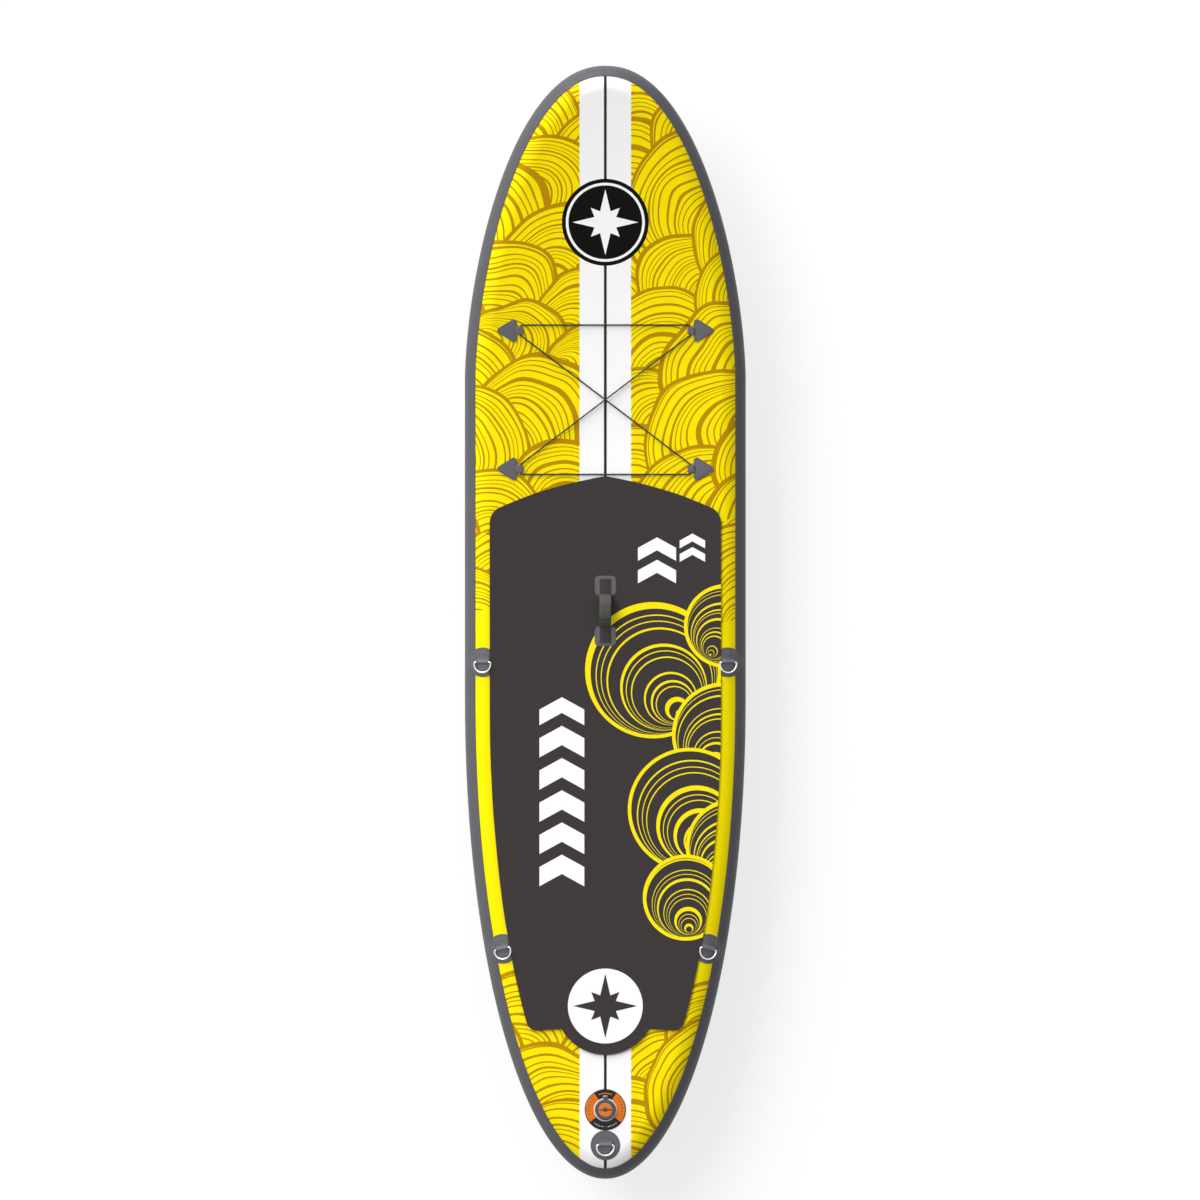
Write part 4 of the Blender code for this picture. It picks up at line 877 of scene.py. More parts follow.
def grain_look(name, slot, colour, roughness, grain=0.00003, scale=900.0, specular=0.5):
    """Moulded plastic, foam or rubber with a fine grain."""
    look = Look(name, slot, colour, roughness, specular=specular)
    colour = look.tinted(colour, look.noise(35.0, 4.0), 0.93, 1.07)
    return look.finish(colour, look.noise(scale, 3.0) * grain, 45.0, 0.1)

def metal_look(name, slot, colour, roughness):
    """Drawn metal, with fine scratches."""
    look = Look(name, slot, colour, roughness, metallic=1.0)
    scratches = look.noise(400.0, 4.0, stretch=(1.0, 6.0, 1.0))
    colour = look.tinted(colour, look.noise(90.0, 3.0), 0.92, 1.05)
    return look.finish(colour, scratches * 0.00001, 120.0, 0.12)

def label_look():
    """The printed ring round the valve: two orange fields on black, with plain tick marks."""
    look = Look("valve_label_print", "label", BLACK, 0.4, specular=0.3)
    x, y, _ = look.place()
    along = y - VALVE_Y
    radius = look.radius(x, along)
    angle = look.math("ARCTAN2", along, abs(x)) * (180 / math.pi)
    field = (angle > -39.0) * (angle < 56.0) * (radius < 0.0528)
    colour = look.mix(field, BLACK, ORANGE)
    ticks = (look.math("FRACT", angle / 11.0 + 0.5) < 0.16) * (radius > 0.0415) * (radius < 0.0475)
    colour = look.mix(ticks * field * (abs(angle - 8.5) < 34.0), colour, BLACK)
    fan = (angle < -50.0) * (angle > -86.0)
    dashes = (look.math("FRACT", angle / 9.0) < 0.6) * (radius > 0.0452) * (radius < 0.0466)
    colour = look.mix(fan * dashes, colour, WHITE)
    top = (angle > 66.0) * (radius > 0.0425) * (radius < 0.0450)
    colour = look.tinted(look.mix(top, colour, ORANGE), look.noise(70.0, 3.0), 0.95, 1.04)
    return look.finish(colour, look.noise(700.0, 2.0) * 0.00002, 60.0, 0.1)

def cap_look():
    """The valve cap's plastic, with an orange ring on its top."""
    colour = srgb(70, 69, 71)
    look = Look("valve_cap_plastic", "grey_plastic", colour, 0.42, specular=0.4)
    x, y, z = look.place()
    radius = look.radius(x, y - VALVE_Y)
    disc = (radius < 0.0184) * (z > THICKNESS + 0.0098) * (z < THICKNESS + 0.0107) * (radius > 0.0064)
    colour = look.mix(disc, look.tinted(colour, look.noise(60.0, 4.0), 0.94, 1.06), ORANGE)
    return look.finish(colour, look.noise(900.0, 3.0) * 0.00003, 60.0, 0.1)

LOOKS = {
    "deck_fabric": deck_look(),
    "bottom_fabric": plain_fabric("bottom_fabric", "bottom_fabric", (0.78, 0.78, 0.77)),
    "inner_strip": plain_fabric("inner_strip_fabric", "inner_strip", srgb(70, 70, 72)),
    "rail_fabric": plain_fabric("rail_tape_fabric", "rail_fabric", srgb(90, 89, 94), 0.5, 0.15),
    "yarn": woven_look("core_yarn", "yarn", (0.70, 0.69, 0.65), 0.0012, 0.9),
    "eva_foam": foam_look(),
    "patch": patch_look(),
    "webbing": handle_look(),
    "neoprene": grain_look("grip_neoprene", "neoprene", srgb(74, 75, 71), 0.85, 0.00012, 1400.0, 0.2),
    "steel": metal_look("ring_steel", "steel", (0.80, 0.80, 0.81), 0.22),
    "elastic": braid_look(),
    "rubber": grain_look("seal_rubber", "rubber", srgb(40, 40, 40), 0.65, specular=0.3),
    "label": label_look(),
    "white_plastic": grain_look("valve_white_plastic", "white_plastic", (0.80, 0.80, 0.79), 0.35),
    "grey_plastic": cap_look(),
    "black_plastic": grain_look("fin_black_plastic", "black_plastic", srgb(30, 30, 31), 0.38),
    "brass": metal_look("fin_brass", "brass", (0.72, 0.53, 0.24), 0.3),
}
THREAD = grain_look("stitching_thread", "webbing", srgb(38, 36, 38), 0.75, specular=0.3)
STRAP = woven_look("ring_strap_webbing", "patch", srgb(106, 105, 110), 0.0019, 0.7)

def dress(made, look, body, *nodes):
    """Give a piece its finish and its body, and let it stand for its nodes."""
    look = LOOKS.get(look, look)
    made.data.materials.clear()
    made.data.materials.append(look.made)
    if body:
        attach(made, body)
    if nodes:
        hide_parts(*nodes)
    return made

# Hull

def valve_hole(made):
    """Cut the valve's hole in the deck fabric."""
    bm = bmesh.new()
    place = Matrix.Translation(VALVE)
    bmesh.ops.create_cone(
        bm, cap_ends=True, segments=96, radius1=0.0225, radius2=0.0225, depth=0.02, matrix=place,
    )
    tool = piece_from("valve_hole", bm)
    settled(modified(made, "BOOLEAN", operation="DIFFERENCE", solver="EXACT", object=tool))
    bpy.data.objects.remove(tool, do_unlink=True)
    return made

dress(valve_hole(skin("deck_fabric", 1)), "deck_fabric", "board", "deck_skin")
dress(skin("bottom_fabric", -1), "bottom_fabric", "board", "bottom_skin")
dress(rail_tape("rail_tape_right", 1), "rail_fabric", "board", "rail_band_right")
dress(rail_tape("rail_tape_left", -1), "rail_fabric", "board", "rail_band_left")

# Deck pad

def pad_side():
    """Right half of the pad's outline, from the apex to the middle of the round tail end."""
    points = [tuple(p) for p in smooth(PAD_FRONT, 5)]
    points += arc((PAD_HALF_WIDTH - 0.045, 0.2655), 0.045, 68, 0, 12)
    points += [tuple(p) for p in smooth(PAD_SIDE, 5)]
    points += arc((0.183, PAD_REAR + 0.028), 0.028, -15, -90, 10)
    start = math.degrees(math.asin((PAD_BULGE_CENTRE - PAD_REAR - 0.004) / PAD_BULGE_RADIUS))
    return points + arc((0.0, PAD_BULGE_CENTRE), PAD_BULGE_RADIUS, -start, -90, 20)

def pad_edge(y):
    """The pad's right edge at a place along the board."""
    side = sorted((b, a) for a, b in pad_side() if a > 0.2)
    return float(np.interp(y, [p[0] for p in side], [p[1] for p in side]))

def deck_pad():
    """The foam pad with a window for each handle patch."""
    right = pad_side()
    outlines = [right + [(-x, y) for x, y in reversed(right[1:-1])]]
    window = tuple(side + 4 * GAP for side in HANDLE_PATCH)
    for y in (HANDLE_FRONT, HANDLE_REAR):
        outlines.append(rounded_box(window, HANDLE_PATCH_CORNER + 2 * GAP, y))
    made = plate("deck_pad_foam", outlines, PAD_THICKNESS, PAD_ROUNDING)
    dress(made, "eva_foam", "board", "deck_pad")

deck_pad()

# Carry handle

HANDLE_MIDDLE = (HANDLE_FRONT + HANDLE_REAR) / 2
HANDLE_SPAN = HANDLE_FRONT - HANDLE_REAR - 2 * WEBBING_INSET
HANDLE_PATCH_TOP = ON_DECK + HANDLE_PATCH_THICKNESS
HANDLE_HEIGHT = HANDLE_PATCH_TOP + GAP + WEBBING / 2
UP = (0.0, 0.0, 1.0)

def arch_point(share):
    """Place along and above the board on the handle's arch, about its axis."""
    a = math.pi * share
    flat = abs(math.cos(a)) ** 0.85 * math.copysign(1.0, math.cos(a))
    return HANDLE_SPAN / 2 * flat, HANDLE_RISE * math.sin(a) ** 0.9

def handle_path(points):
    """World points of (along, above) ones about the handle's axis."""
    return np.array([(0.0, HANDLE_MIDDLE + y, HANDLE_HEIGHT + z) for y, z in points])

def softened(points, spacing, reach):
    """A line at even steps, with its corners eased out over a reach."""
    p = np.array(points, float)
    along = distances(p)
    even = read_off(np.linspace(0, along[-1], round(along[-1] / spacing)), along, p)
    half = round(reach / spacing / 2)
    ramp = np.arange(half, 0, -1)[:, None]
    before, after = ramp * (even[1] - even[0]), ramp[::-1] * (even[-1] - even[-2])
    padded = np.vstack((even[0] - before, even, even[-1] + after))
    kernel = np.hanning(2 * half + 3)[1:-1]
    kernel /= kernel.sum()
    return np.column_stack([np.convolve(axis, kernel, "valid") for axis in padded.T])[::3]

def handle_end(name, y, facing):
    """A patch, and the webbing that is sewn to it and rises into the grip."""
    outline = rounded_box(HANDLE_PATCH, HANDLE_PATCH_CORNER, y)
    made = plate(f"handle_patch_{name}_fabric", [outline], HANDLE_PATCH_THICKNESS, 0.0009)
    dress(made, "patch", "board", f"handle_patch_{name}")
    foot = HANDLE_SPAN / 2
    path = [(facing * (y - HANDLE_MIDDLE) + WEBBING_SEWN, 0.0), (foot, 0.0)]
    path += [arch_point(share) for share in np.linspace(0.0, GRIP_SHARE + 0.02, 120)[1:]]
    path = handle_path(softened(path, 0.0003, FOOT_REACH) * (facing, 1.0))
    section = rounded_box((WEBBING_WIDTH, WEBBING), 0.0006, steps=2)
    leg = swept(f"handle_webbing_{name}", path, section, np.cross((1.0, 0.0, 0.0), np.gradient(path, axis=0)))
    ends = handle_path([(facing * along, above) for along, above in ((foot, 0.0), arch_point(LEG_SHARE))])
    dress(leg, "webbing", None, f"handle_webbing_sewn_{name}", f"handle_webbing_leg_{name}")
    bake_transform(leg)

    thread = Stitching()
    middle, height = y + facing * 0.0015, HANDLE_HEIGHT + WEBBING / 2
    corners = [
        (side * (WEBBING_WIDTH / 2 - 0.0035), middle + end * 0.0125, height)
        for side, end in ((1, 1), (-1, 1), (-1, -1), (1, -1))
    ]
    cross = [(corners[0], corners[2]), (corners[1], corners[3])]
    for line in list(zip(corners, corners[1:] + corners[:1])) + cross:
        thread.sew(line, [UP, UP], 0.0032, 0.7, 0.00028)
    edge = rounded_box([size - 0.007 for size in HANDLE_PATCH], 0.007, y, 5)
    border = [(*point, HANDLE_PATCH_TOP) for point in edge]
    thread.sew(border, [UP] * len(border), 0.0036, 0.66, 0.00026, True)
    thread.finish(f"handle_stitching_{name}", "board")

def handle_grip():
    """The webbing's middle stretch in its padded sleeve, with the sleeve's sewn edges."""
    shares = np.linspace(GRIP_SHARE + 0.004, 1 - GRIP_SHARE - 0.004, 25)
    section = rounded_box((0.0276, WEBBING - 0.0004), 0.0006, steps=2)
    span = swept("handle_webbing_core", handle_path([arch_point(s) for s in shares]), section, UP)
    dress(span, "webbing", "handle", "handle_webbing_span")
    shares = np.linspace(GRIP_SHARE, 1 - GRIP_SHARE, 41)
    path = handle_path([arch_point(s) for s in shares])
    section = plump(WEBBING_WIDTH, GRIP_THICKNESS, (0.42, 0.72), 48)
    inset = np.minimum(shares - GRIP_SHARE, 1 - GRIP_SHARE - shares)
    grip = swept("handle_grip_sleeve", path, section, UP, scale=rounded_ends(inset, 0.03, (0.95, 0.62)))
    dress(grip, "neoprene", "handle", "handle_grip")
    thread = Stitching()
    out = unit(np.cross((1.0, 0.0, 0.0), unit(np.gradient(path, axis=0))))
    inner = slice(3, -3)
    for side in (-1, 1):
        beside = np.array((side * (WEBBING_WIDTH / 2 - 0.0034), 0.0, 0.0))
        edge = path + beside + out * (GRIP_THICKNESS * 0.428)
        thread.sew(edge[inner], out[inner], 0.0034, 0.66, 0.00028)
    thread.finish("handle_grip_stitching", "handle")

handle_end("front", HANDLE_FRONT, 1)
handle_end("rear", HANDLE_REAR, -1)
handle_grip()

# D-ring sets

def laid_disc(name, x, y, radius, lift, rings=12, around=96):
    """A round piece of fabric on the deck and rail, cut off along the pad's edge where it meets it."""
    bm = bmesh.new()
    middle = bm.verts.new((x, y, 0.0))
    before = None
    for r in np.linspace(0, radius, rings + 1)[1:]:
        ring = [bm.verts.new((x + px, y + py, 0.0)) for px, py in circle(r, around)]
        for i in range(around):
            j = (i + 1) % around
            bm.faces.new((before[i], ring[i], ring[j], before[j]) if before else (middle, ring[i], ring[j]))
        before = ring
    if x:
        side = math.copysign(1.0, x)
        a, b = (Vector((side * pad_edge(y + step), y + step, 0.0)) for step in (-0.02, 0.02))
        along = (b - a).normalized()
        inwards = Vector((-side * along.y, side * along.x, 0.0))
        edge = (a + b) / 2 - inwards * 2 * GAP
        bmesh.ops.bisect_plane(bm, geom=everything(bm), plane_co=edge, plane_no=inwards, clear_outer=True)
    places = np.array([v.co[:2] for v in bm.verts])
    for vert, z in zip(bm.verts, lay(*places.T, lift)):
        vert.co.z = z
    for face in bm.faces:
        face.normal_update()
        if face.normal.z < 0:
            face.normal_flip()
    made = thicken(piece_from(name, bm, outwards=False), SKIN)
    return settled(round_edges(made, 0.0004, 2, 60))

def ring_matrix(name):
    """Place of a D-ring: X along its bar, -Y to its bow and Z off the deck, from the solid."""
    points = np.array([v.co for v in frame["nodes"][f"d_ring_{name}"].data.vertices])
    joint = next(j for j in frame["joints"] if j["name"] == f"{name}_ring_swing")
    origin, bar = np.array(joint["pos_m"], float), unit(np.array(joint["axis"], float))
    bow = points.mean(0) - origin
    bow = unit(bow - bar * (bow @ bar))
    up = np.cross(bar, -bow)
    if up[2] < 0:
        bar, up = -bar, -up
    matrix = Matrix((bar, -bow, up)).transposed().to_4x4()
    matrix.translation = origin
    return np.array(matrix)

def ring_points():
    """The D-ring's middle line: a straight bar on X and a bow towards -Y."""
    half, depth, corner = (RING_WIDTH - RING_WIRE) / 2, RING_DEPTH - RING_WIRE, RING_CORNER
    points = [(x, 0.0) for x in np.linspace(-half + corner, half - corner, 9)]
    points += arc((half - corner, -corner), corner, 75, 0, 5)
    for a in math.pi * np.arange(1, 40) / 40:
        points.append((half * math.cos(a), -corner - (depth - corner) * math.sin(a) ** 0.9))
    points += arc((-half + corner, -corner), corner, 180, 105, 5)
    return np.array([(x, y, 0.0) for x, y in points])

def loop_sheet(name, there, lift):
    """The strap that passes over the ring's bar, with its two feet on the patch."""
    columns = np.linspace(-STRAP_LOOP_WIDTH / 2, STRAP_LOOP_WIDTH / 2, 25)

    def foot(y, above):
        z = np.full(25, -BAR_HEIGHT)
        for _ in range(6):
            world = np.column_stack((columns, np.full(25, y), z, np.ones(25))) @ there.T
            z = z + (lay(world[:, 0], world[:, 1], lift) - world[:, 2]) * there[2, 2]
        return y, z + above

    rows = [foot(y, above) for y, above in STRAP_FOOT]
    rows += arc((0.0, 0.0), STRAP_LOOP_RADIUS, 180, 0, 12)
    rows += [foot(-y, above) for y, above in reversed(STRAP_FOOT)]
    stack = np.array([np.column_stack((columns, np.full(25, y), z * np.ones(25))) for y, z in rows])
    fine = np.array([smooth(stack[:, c], 3) for c in range(25)]).transpose(1, 0, 2)
    flat = fine.reshape(-1, 3)
    world = np.column_stack((flat, np.ones(len(flat)))) @ there.T
    made = piece(name, world[:, :3], grid_faces(len(fine), 25))
    v = np.repeat(np.arange(len(fine)) * 0.0008, 25)
    layer = made.data.uv_layers.new(name="metres")
    for loop in made.data.loops:
        layer.data[loop.index].uv = (flat[loop.vertex_index, 0], v[loop.vertex_index])
    return facing_out(settled(round_edges(thicken(made, 0.0013, 0), 0.0003, 2, 60)))

def d_ring_set(name, x, y):
    """Patch, strap with its loop, stitching and ring."""
    there = ring_matrix(name)
    strap_lift = SKIN + GAP
    patch = laid_disc(f"d_ring_patch_{name}_fabric", x, y, PATCH_RADIUS, 0.0)
    dress(patch, "patch", "board", f"d_ring_patch_{name}")
    strap = laid_disc(f"d_ring_strap_disc_{name}", x, y, STRAP_RADIUS, strap_lift)
    dress(strap, "patch", "board", f"d_ring_strap_{name}")
    dress(loop_sheet(f"d_ring_strap_loop_{name}", there, strap_lift + SKIN), STRAP, "board")
    thread = Stitching()
    for radius, lift, pitch in (
        (PATCH_RADIUS - 0.0035, SKIN, 0.0052), (STRAP_RADIUS - 0.0026, strap_lift + SKIN, 0.0040),
    ):
        px, py = (np.array(circle(radius, 120)) + (x, y)).T
        if x:
            keep = np.abs(px) > np.array([pad_edge(v) for v in py]) + 0.0022
            order = np.roll(np.arange(len(px)), -int(np.argmax(keep & ~np.roll(keep, 1))))
            order = order[keep[order]]
            px, py = px[order], py[order]
        path = np.column_stack((px, py, lay(px, py, lift)))
        thread.sew(path, lay_normals(px, py), pitch, 0.7, 0.00042, closed=not x)
    thread.finish(f"d_ring_stitching_{name}", "board")
    points = ring_points() @ there[:3, :3].T + there[:3, 3]
    ring = swept(f"d_ring_{name}_wire", points, circle(RING_WIRE / 2, 20), there[:3, 2], closed=True)
    dress(ring, "steel", f"ring_{name}", f"d_ring_{name}")

for ring_name, ring_place in D_RINGS.items():
    d_ring_set(ring_name, *ring_place)

# Bungee

def cord_height(y):
    """Height of the cord's middle line where it passes through a tab."""
    return ON_DECK + CORD_LIFT + float(rocker(y))

def anchor_outline(side, y):
    """A rounded arrow head that points to the rail."""
    points = arc((ANCHOR_TIP - 0.008, 0.0), 0.008, -58, 58, 10)
    shoulder, wide = ANCHOR_BACK + ANCHOR_CORNER, ANCHOR_HALF_WIDTH - ANCHOR_CORNER
    points += arc((shoulder, wide), ANCHOR_CORNER, 58, 180, 12)
    points += arc((shoulder, -wide), ANCHOR_CORNER, 180, 302, 12)
    return [(side * px, y + py) for px, py in points]

def anchor(row, y, side_name, side):
    """A welded patch with a tab that the cord passes through."""
    name = f"bungee_anchor_{row}_{side_name}"
    patch = plate(f"{name}_patch", [anchor_outline(side, y)], ANCHOR_THICKNESS, 0.0008)
    length, width, height = ANCHOR_TAB
    middle, base = side * (ANCHOR_TAB_X + 0.002), ON_DECK + 0.0005 + height / 2 + float(rocker(y))
    slope = float(rocker(y + 0.01) - rocker(y - 0.01)) / 0.02
    steps = np.linspace(-width / 2, width / 2, 15)
    path = [(middle, y + t, base + slope * t) for t in steps]
    scale = rounded_ends(width / 2 - np.abs(steps), 0.003, (0.9, 0.8))
    tab = swept(f"{name}_tab", path, plump(length + 0.004, height, (0.35, 0.6), 36), UP, scale=scale)
    dress(joined(f"{name}_piece", [patch, tab]), "patch", "board", name)
    centre = np.array((side * 0.2555, y))
    inset = (np.array(anchor_outline(side, y)) - centre) * 0.84 + centre
    beside_tab = np.abs(inset[:, 0]) > 0.2400
    order = np.roll(np.arange(len(inset)), -int(np.argmax(beside_tab & ~np.roll(beside_tab, 1))))
    inset = inset[order[beside_tab[order]]]
    top = ON_DECK + ANCHOR_THICKNESS + rocker(inset[:, 1])
    thread = Stitching()
    normals = unit(np.tile((0.0, -slope, 1.0), (len(inset), 1)))
    thread.sew(np.column_stack((inset, top)), normals, 0.0042, 0.64, 0.00028)
    thread.finish(f"{name}_stitching", "board")

def cord_turn(side, y, facing):
    """Out of a tab towards the end of the panel, and a quarter turn to the middle."""
    x, half = side * ANCHOR_TAB_X, ANCHOR_TAB[1] / 2
    middle_x, middle_y = x - side * CORD_BEND, y + facing * (half + 0.0008)
    flat = [(x, y + facing * half * 0.5), (x, middle_y)]
    for along, across in arc((0.0, 0.0), CORD_BEND, 0, 90, 4)[1:]:
        flat.append((middle_x + side * along, middle_y + facing * across))
    return [(px, py, cord_height(py)) for px, py in flat]

def cord_strand(start, finish, lift):
    """A slanting strand between two tabs, lifted or lowered at its middle."""
    (ax, ay), (bx, by) = start, finish
    out = []
    for share, part_of_lift in (
        (0.0, 0.0), (0.012, 0.0), (0.44, 0.75), (0.5, 1.0), (0.56, 0.75), (0.988, 0.0), (1.0, 0.0),
    ):
        z = cord_height(ay) + (cord_height(by) - cord_height(ay)) * share + lift * part_of_lift
        out.append((ax + (bx - ax) * share, ay + (by - ay) * share, z))
    return out

def bungee_route():
    """The closed loop of cord through the four tabs, with two strands that cross."""
    front, rear = ANCHOR_ROWS["front"], ANCHOR_ROWS["rear"]
    x, inner = ANCHOR_TAB_X, ANCHOR_TAB[1] / 2 + 0.002
    points = cord_turn(-1, front, 1) + cord_turn(1, front, 1)[::-1]
    points += cord_strand((x, front - inner), (-x, rear + inner), CORD_HUMP)
    points += cord_turn(-1, rear, -1) + cord_turn(1, rear, -1)[::-1]
    return points + cord_strand((x, rear + inner), (-x, front - inner), -CORD_HUMP)

def rounded_route(points, spacing=0.002):
    """The route at even steps, so that each stretch between tabs stays straight."""
    loop = np.vstack((points, points[:1]))
    along = distances(loop)
    even = read_off(np.linspace(0, along[-1], int(along[-1] / spacing), endpoint=False), along, loop)
    for _ in range(2):
        even = (np.roll(even, 1, 0) + 2 * even + np.roll(even, -1, 0)) / 4
    return even

for anchor_row, anchor_y in ANCHOR_ROWS.items():
    anchor(anchor_row, anchor_y, "right", 1)
    anchor(anchor_row, anchor_y, "left", -1)
cord = swept("bungee_braided_cord", rounded_route(bungee_route()), circle(CORD / 2, 12), UP, closed=True)
dress(cord, "elastic", "board", "bungee_cord")

# Valve

def on_valve(y, z):
    """A point on the valve's middle plane."""
    return (0.0, VALVE_Y + y, THICKNESS + z)

def valve_body():
    """Label, and the body with the hub that carries the stem."""
    profile = ring_profile(LABEL_RADIUS, COLLAR_RADIUS - 0.0012, 0.0011, 0.0005)
    dress(turned("valve_label_ring", profile, 0.0002, 128), "label", "board", "valve_label")
    parts = [
        turned("shell", [
            (FLANGE_RADIUS, 0.0040), (FLANGE_RADIUS, 0.0017), (NECK_RADIUS, 0.0017),
            (NECK_RADIUS, -NECK_DEPTH), (BORE_RADIUS, -NECK_DEPTH), (BORE_RADIUS, 0.0040),
        ], 0.0006),
        turned("hub", ring_profile(0.0065, STEM_RADIUS + 2 * GAP, -0.0205, -0.0245), sides=48),
    ]
    for degrees in (0, 120, 240):
        arm = brick((0.0122, 0.0034, 0.0034), (0.0115, 0.0, -0.0225), 0.0004)
        arm.matrix_world = Matrix.Translation(VALVE) @ Matrix.Rotation(math.radians(degrees), 4, "Z")
        parts.append(arm)
    dress(joined("valve_body_moulding", parts), "white_plastic", "board", "valve_body")

def valve_stem():
    """Stem with its button's bar, seal and spring."""
    foot_top = SEAL_TOP - SEAL_THICKNESS - GAP
    stem = turned("stem", [
        (0.0, -0.0030), (STEM_HEAD_RADIUS, -0.0030), (STEM_HEAD_RADIUS, -0.0052), (STEM_RADIUS, -0.0052),
        (STEM_RADIUS, SEAL_TOP + 0.0012), (0.0060, SEAL_TOP + 0.0012), (0.0060, SEAL_TOP + GAP),
        (STEM_RADIUS, SEAL_TOP + GAP), (STEM_RADIUS, foot_top), (0.0070, foot_top), (0.0070, -0.0400),
        (0.0, -0.0400),
    ], sides=48)
    bar = brick((0.0135, 0.0024, 0.0016), on_valve(0.0, -0.0026), 0.0004)
    dress(joined("valve_stem_button", [stem, bar]), "white_plastic", "valve_plunger", "valve_stem")
    profile = ring_profile(SEAL_RADIUS, STEM_RADIUS + GAP, SEAL_TOP, SEAL_TOP - SEAL_THICKNESS)
    dress(turned("valve_seal_disc", profile, sides=72), "rubber", "valve_slider", "valve_seal")
    turns = np.linspace(0, SPRING_TURNS, int(SPRING_TURNS * 24) + 1)
    dead = np.clip(np.minimum(turns, SPRING_TURNS - turns) / 0.5, 0, 1)
    heights = SPRING[0] + (SPRING[1] - SPRING[0]) * np.cumsum(dead) / dead.sum()
    a = 2 * math.pi * turns
    coil = np.column_stack((SPRING_RADIUS * np.cos(a), SPRING_RADIUS * np.sin(a), heights)) + VALVE
    spring = swept("valve_spring_coil", coil, circle(SPRING_WIRE / 2, 10), UP)
    dress(spring, "steel", "board", "valve_spring")
    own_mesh(spring)

def valve_cap():
    """Collar with its hinge, and the cap."""
    low, high = COLLAR
    profile = ring_profile(COLLAR_RADIUS, FLANGE_RADIUS + 2 * GAP, high, low)
    ring = turned("collar", profile, 0.0005, 120)
    lug = brick((0.0120, 0.0060, 0.0038), on_valve(CAP_HINGE - 0.0032, low + 0.0019), 0.0005)
    pin = turned("pin", ring_profile(0.0009, 0.0, 0.0058, -0.0058), 0.0002, 16, (0.0, 0.0, 0.0))
    hinge = Matrix.Translation(on_valve(CAP_HINGE, CAP_HINGE_HEIGHT))
    pin.matrix_world = hinge @ Matrix.Rotation(math.pi / 2, 4, "Y")
    dress(joined("valve_collar_ring", [ring, lug, pin]), "white_plastic", "valve_collar", "valve_cap_ring")
    cap = turned("cap", [
        (0.0, 0.0101), (0.0050, 0.0101), (0.0054, 0.0105), (0.0188, 0.0105), (0.0190, 0.0102),
        (0.0196, 0.0102), (0.0198, 0.0105), (CAP_RADIUS - 0.0026, 0.0105), (CAP_RADIUS - 0.0006, 0.0094),
        (CAP_RADIUS, 0.0080), (CAP_RADIUS, 0.0045), (PLUG_RADIUS, 0.0045), (PLUG_RADIUS - 0.0006, -0.0016),
        (PLUG_RADIUS - 0.0022, -0.0016), (PLUG_RADIUS - 0.0026, 0.0063), (0.0, 0.0063),
    ], 0.0002, 240, VALVE, (30, 0.0009, CAP_RADIUS - 0.001))
    bar = brick((0.0340, 0.0042, 0.0012), on_valve(0.0, 0.0108), 0.0005)
    ear = brick((0.0116, 0.0100, 0.0030), on_valve(CAP_HINGE - 0.0055, 0.0071), 0.0006)
    dress(joined("valve_cap_moulding", [cap, bar, ear]), "grey_plastic", "valve_lid", "valve_cap")

valve_body()
valve_stem()
valve_cap()

# Fins

def bow(first, middle, last, t):
    """A point on a quadratic curve."""
    first, middle, last = map(np.array, (first, middle, last))
    return (1 - t) ** 2 * first + 2 * t * (1 - t) * middle + t * t * last

def foil(name, x, y, base, root, thickness):
    """A swept fin with a foil section, its root at the height root."""
    depth = FIN_DEPTH + root
    rows = []
    for t in np.concatenate((np.linspace(0, 0.9, 19), (0.94, 0.97, 0.99, 1.0))):
        lead = bow((base / 2, root), (0.10 * base, root - 0.86 * depth), (-0.50 * base, -FIN_DEPTH), t)
        back = (-0.36 * base, root - 0.42 * depth)
        trail = bow((-base / 2, root), back, (-0.60 * base, -FIN_DEPTH + 0.005), t)
        pinch = math.sqrt(max(0.0, 1 - ((t - 0.9) / 0.1) ** 2)) if t > 0.9 else 1.0
        middle = lead + (trail - lead) * 0.62
        lead, trail = (middle + (edge - middle) * max(pinch, 0.03) for edge in (lead, trail))
        half = thickness / 2 * (0.30 + 0.70 * (1 - t)) * max(pinch, 0.05)
        half = min(half, np.linalg.norm(trail - lead) * 0.12 + 0.0002)
        shape = []
        for a in np.radians(np.arange(0, 360, 10)):
            share = 0.5 - 0.5 * math.cos(a)
            swell = min(2.6 * (share ** 0.5) * (1 - share) + 0.12 * share, 1.0) if 0 < share < 1 else 0.0
            along, height = lead + (trail - lead) * share
            shape.append((x + math.copysign(half * swell, math.sin(a)), y + along, height))
        rows.append(shape)
    verts = np.array(rows)
    verts[:, :, 2] = root + (verts[:, :, 2] - root) * depth / (root - verts[:, :, 2].min())
    faces = grid_faces(len(rows), 36, False, True) + end_faces(len(rows), 36)
    return facing_out(piece(name, verts.reshape(-1, 3), faces), 50)

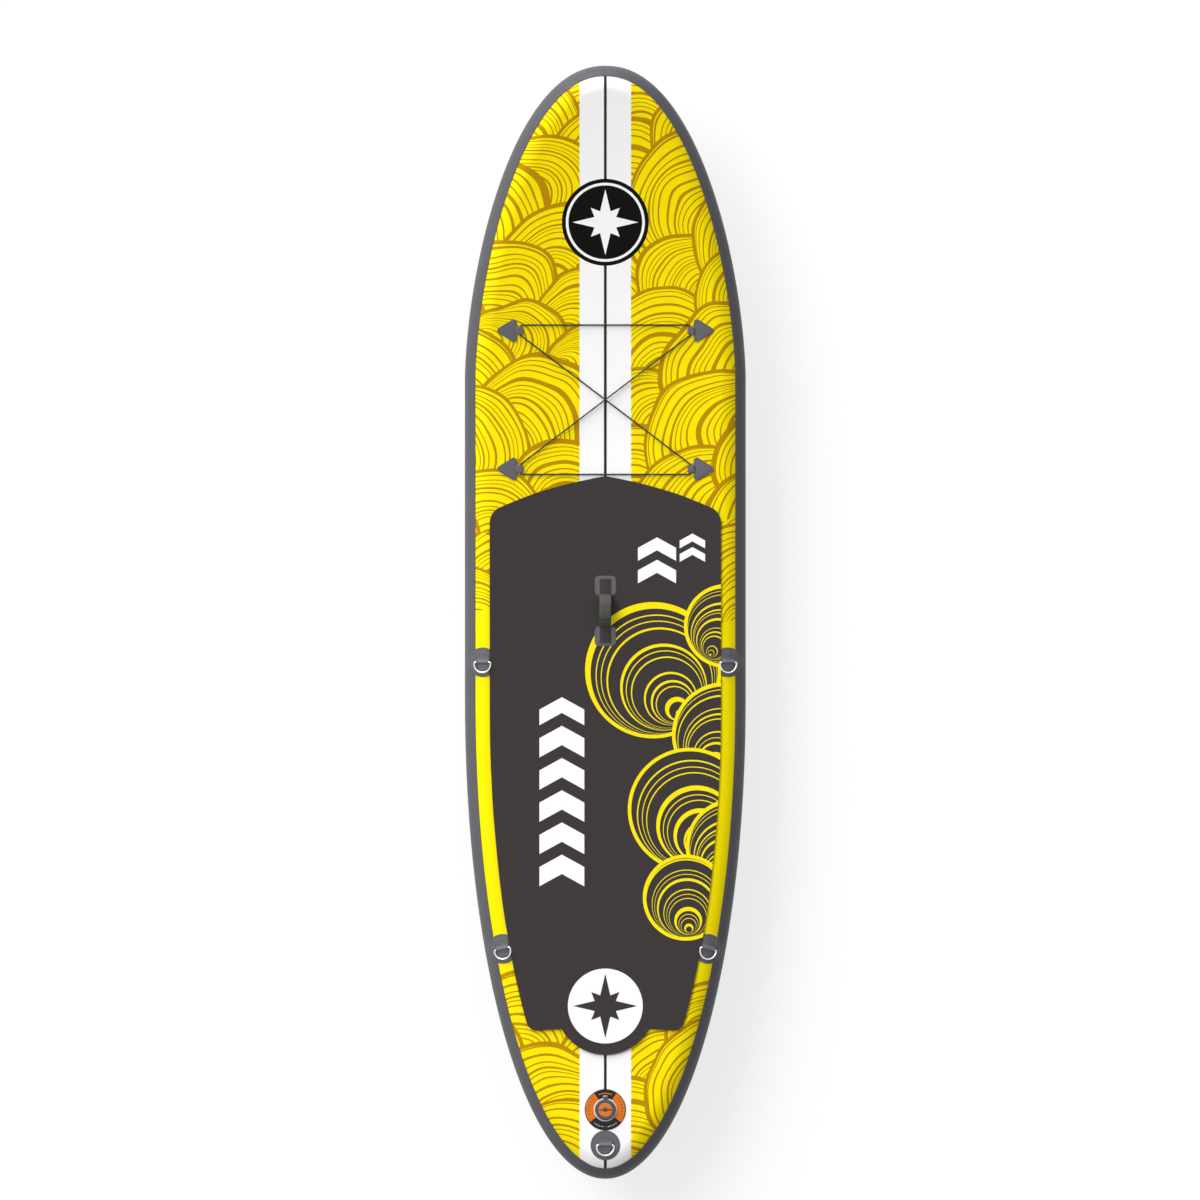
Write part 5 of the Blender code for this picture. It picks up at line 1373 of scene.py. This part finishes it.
def fins():
    """The centre fin with its tab and lug, and the two side fins."""
    lug_length, lug_height = FIN_LUG
    middle = FIN_BOX_MIDDLE - (FIN_TAB_LENGTH + lug_length) / 2 + FIN_TAB_LENGTH / 2
    blade = foil("blade", 0.0, middle, CENTRE_FIN_BASE, FIN_BOX_LOW + 0.0015, CENTRE_FIN_THICKNESS)
    tab = brick((0.0092, FIN_TAB_LENGTH, 0.0178), (0.0, middle, FIN_BOX_LOW + 0.0089), 0.0005)
    lug_y, lug_z = middle + FIN_TAB_LENGTH / 2 + lug_length / 2 - 0.001, FIN_BOX_LOW + 0.0001 + lug_height / 2
    lug = brick((0.0090, lug_length + 0.002, lug_height), (0.0, lug_y, lug_z), 0.0005)
    dress(joined("centre_fin_blade", [blade, tab, lug], 50), "black_plastic", "sliding_fin", "centre_fin")
    outline = rounded_box(FIN_PATCH, 0.030, FIN_BOX_MIDDLE, 16)
    patch = plate("fin_box_patch_fabric", [outline], SKIN, 0.0004, 2, -GAP - SKIN)
    dress(patch, "patch", "board", "fin_box_patch")
    for name, side in (("side_fin_right", 1), ("side_fin_left", -1)):
        place = (side * SIDE_FIN_X, SIDE_FIN_Y)
        fin = foil(f"{name}_blade", *place, SIDE_FIN_BASE, SIDE_SLOT_TOP - GAP, SIDE_FIN_THICKNESS)
        dress(fin, "black_plastic", "board", name)

fins()

# Solids whose shape is right already

KEPT = {
    "yarn": ("drop_stitch_core",),
    "inner_strip": ("inner_sidewall_left", "inner_sidewall_right"),
    "rubber": ("valve_gasket",),
    "brass": ("fin_pin", "fin_plate"),
    "black_plastic": ("valve_nut", "fin_box", "fin_screw", "side_fin_base_left", "side_fin_base_right"),
}
for slot_name, node_names in KEPT.items():
    for node_name in node_names:
        for material_slot in frame["nodes"][node_name].material_slots:
            material_slot.material = LOOKS[slot_name].made

# Floor, light and camera

FLOOR = -FIN_DEPTH - GAP
FLOOR_GREY = 0.28
AMBIENT = 0.42
LAMPS = {                      # from where, energy and width in degrees
    "key": ((-0.52, 0.42, 0.745), 1.65, 30),
    "side": ((-0.42, 0.90, 0.06), 4.8, 70),
}

def seen_directly(nodes, seen, otherwise):
    """A number for what the camera, gloss or clear pieces see, and another for the light."""
    rays = nodes.node("ShaderNodeLightPath").outputs
    direct = either(*(Field(nodes, rays[f"Is {kind} Ray"]) for kind in ("Camera", "Glossy", "Transmission")))
    return nodes.math("MULTIPLY_ADD", direct, seen - otherwise, otherwise)

def floor():
    """A wide pale floor that looks white where no shadow falls."""
    bm = bmesh.new()
    place = Matrix.Translation((0, 0, FLOOR))
    bmesh.ops.create_grid(bm, x_segments=1, y_segments=1, size=30.0, matrix=place)
    made = piece_from("studio_floor", bm)
    paint = Look("studio_floor", None, (FLOOR_GREY, FLOOR_GREY, FLOOR_GREY), 0.9, specular=0.0)
    paint.set("Emission Color", (1.0, 1.0, 1.0))
    paint.set("Emission Strength", seen_directly(paint, 1.0 - 0.95 * FLOOR_GREY, 0.0))
    made.data.materials.append(paint.made)

def studio():
    """Soft lights from the upper left and a pale room."""
    world = bpy.data.worlds.new("studio")
    bpy.context.scene.world = world
    world.use_nodes = True
    nodes, background = Nodes(world.node_tree), world.node_tree.nodes["Background"].inputs
    nodes.put(background["Color"], (1.0, 1.0, 1.0))
    nodes.put(background["Strength"], seen_directly(nodes, 1.0, AMBIENT))
    for name, (source, energy, width) in LAMPS.items():
        lamp = having(bpy.data.lights.new(name, "SUN"), energy=energy, angle=math.radians(width))
        linked(name, lamp).rotation_euler = Vector(source).to_track_quat("Z", "Y").to_euler()

floor()
studio()
lens = having(bpy.data.cameras.new("camera"), type="ORTHO", ortho_scale=3.2038, clip_end=30.0)
camera = having(linked("camera", lens), location=(-0.0142, 0.0595, 4.0))
bpy.context.scene.camera = camera
bpy.context.scene.view_settings.view_transform = "Standard"
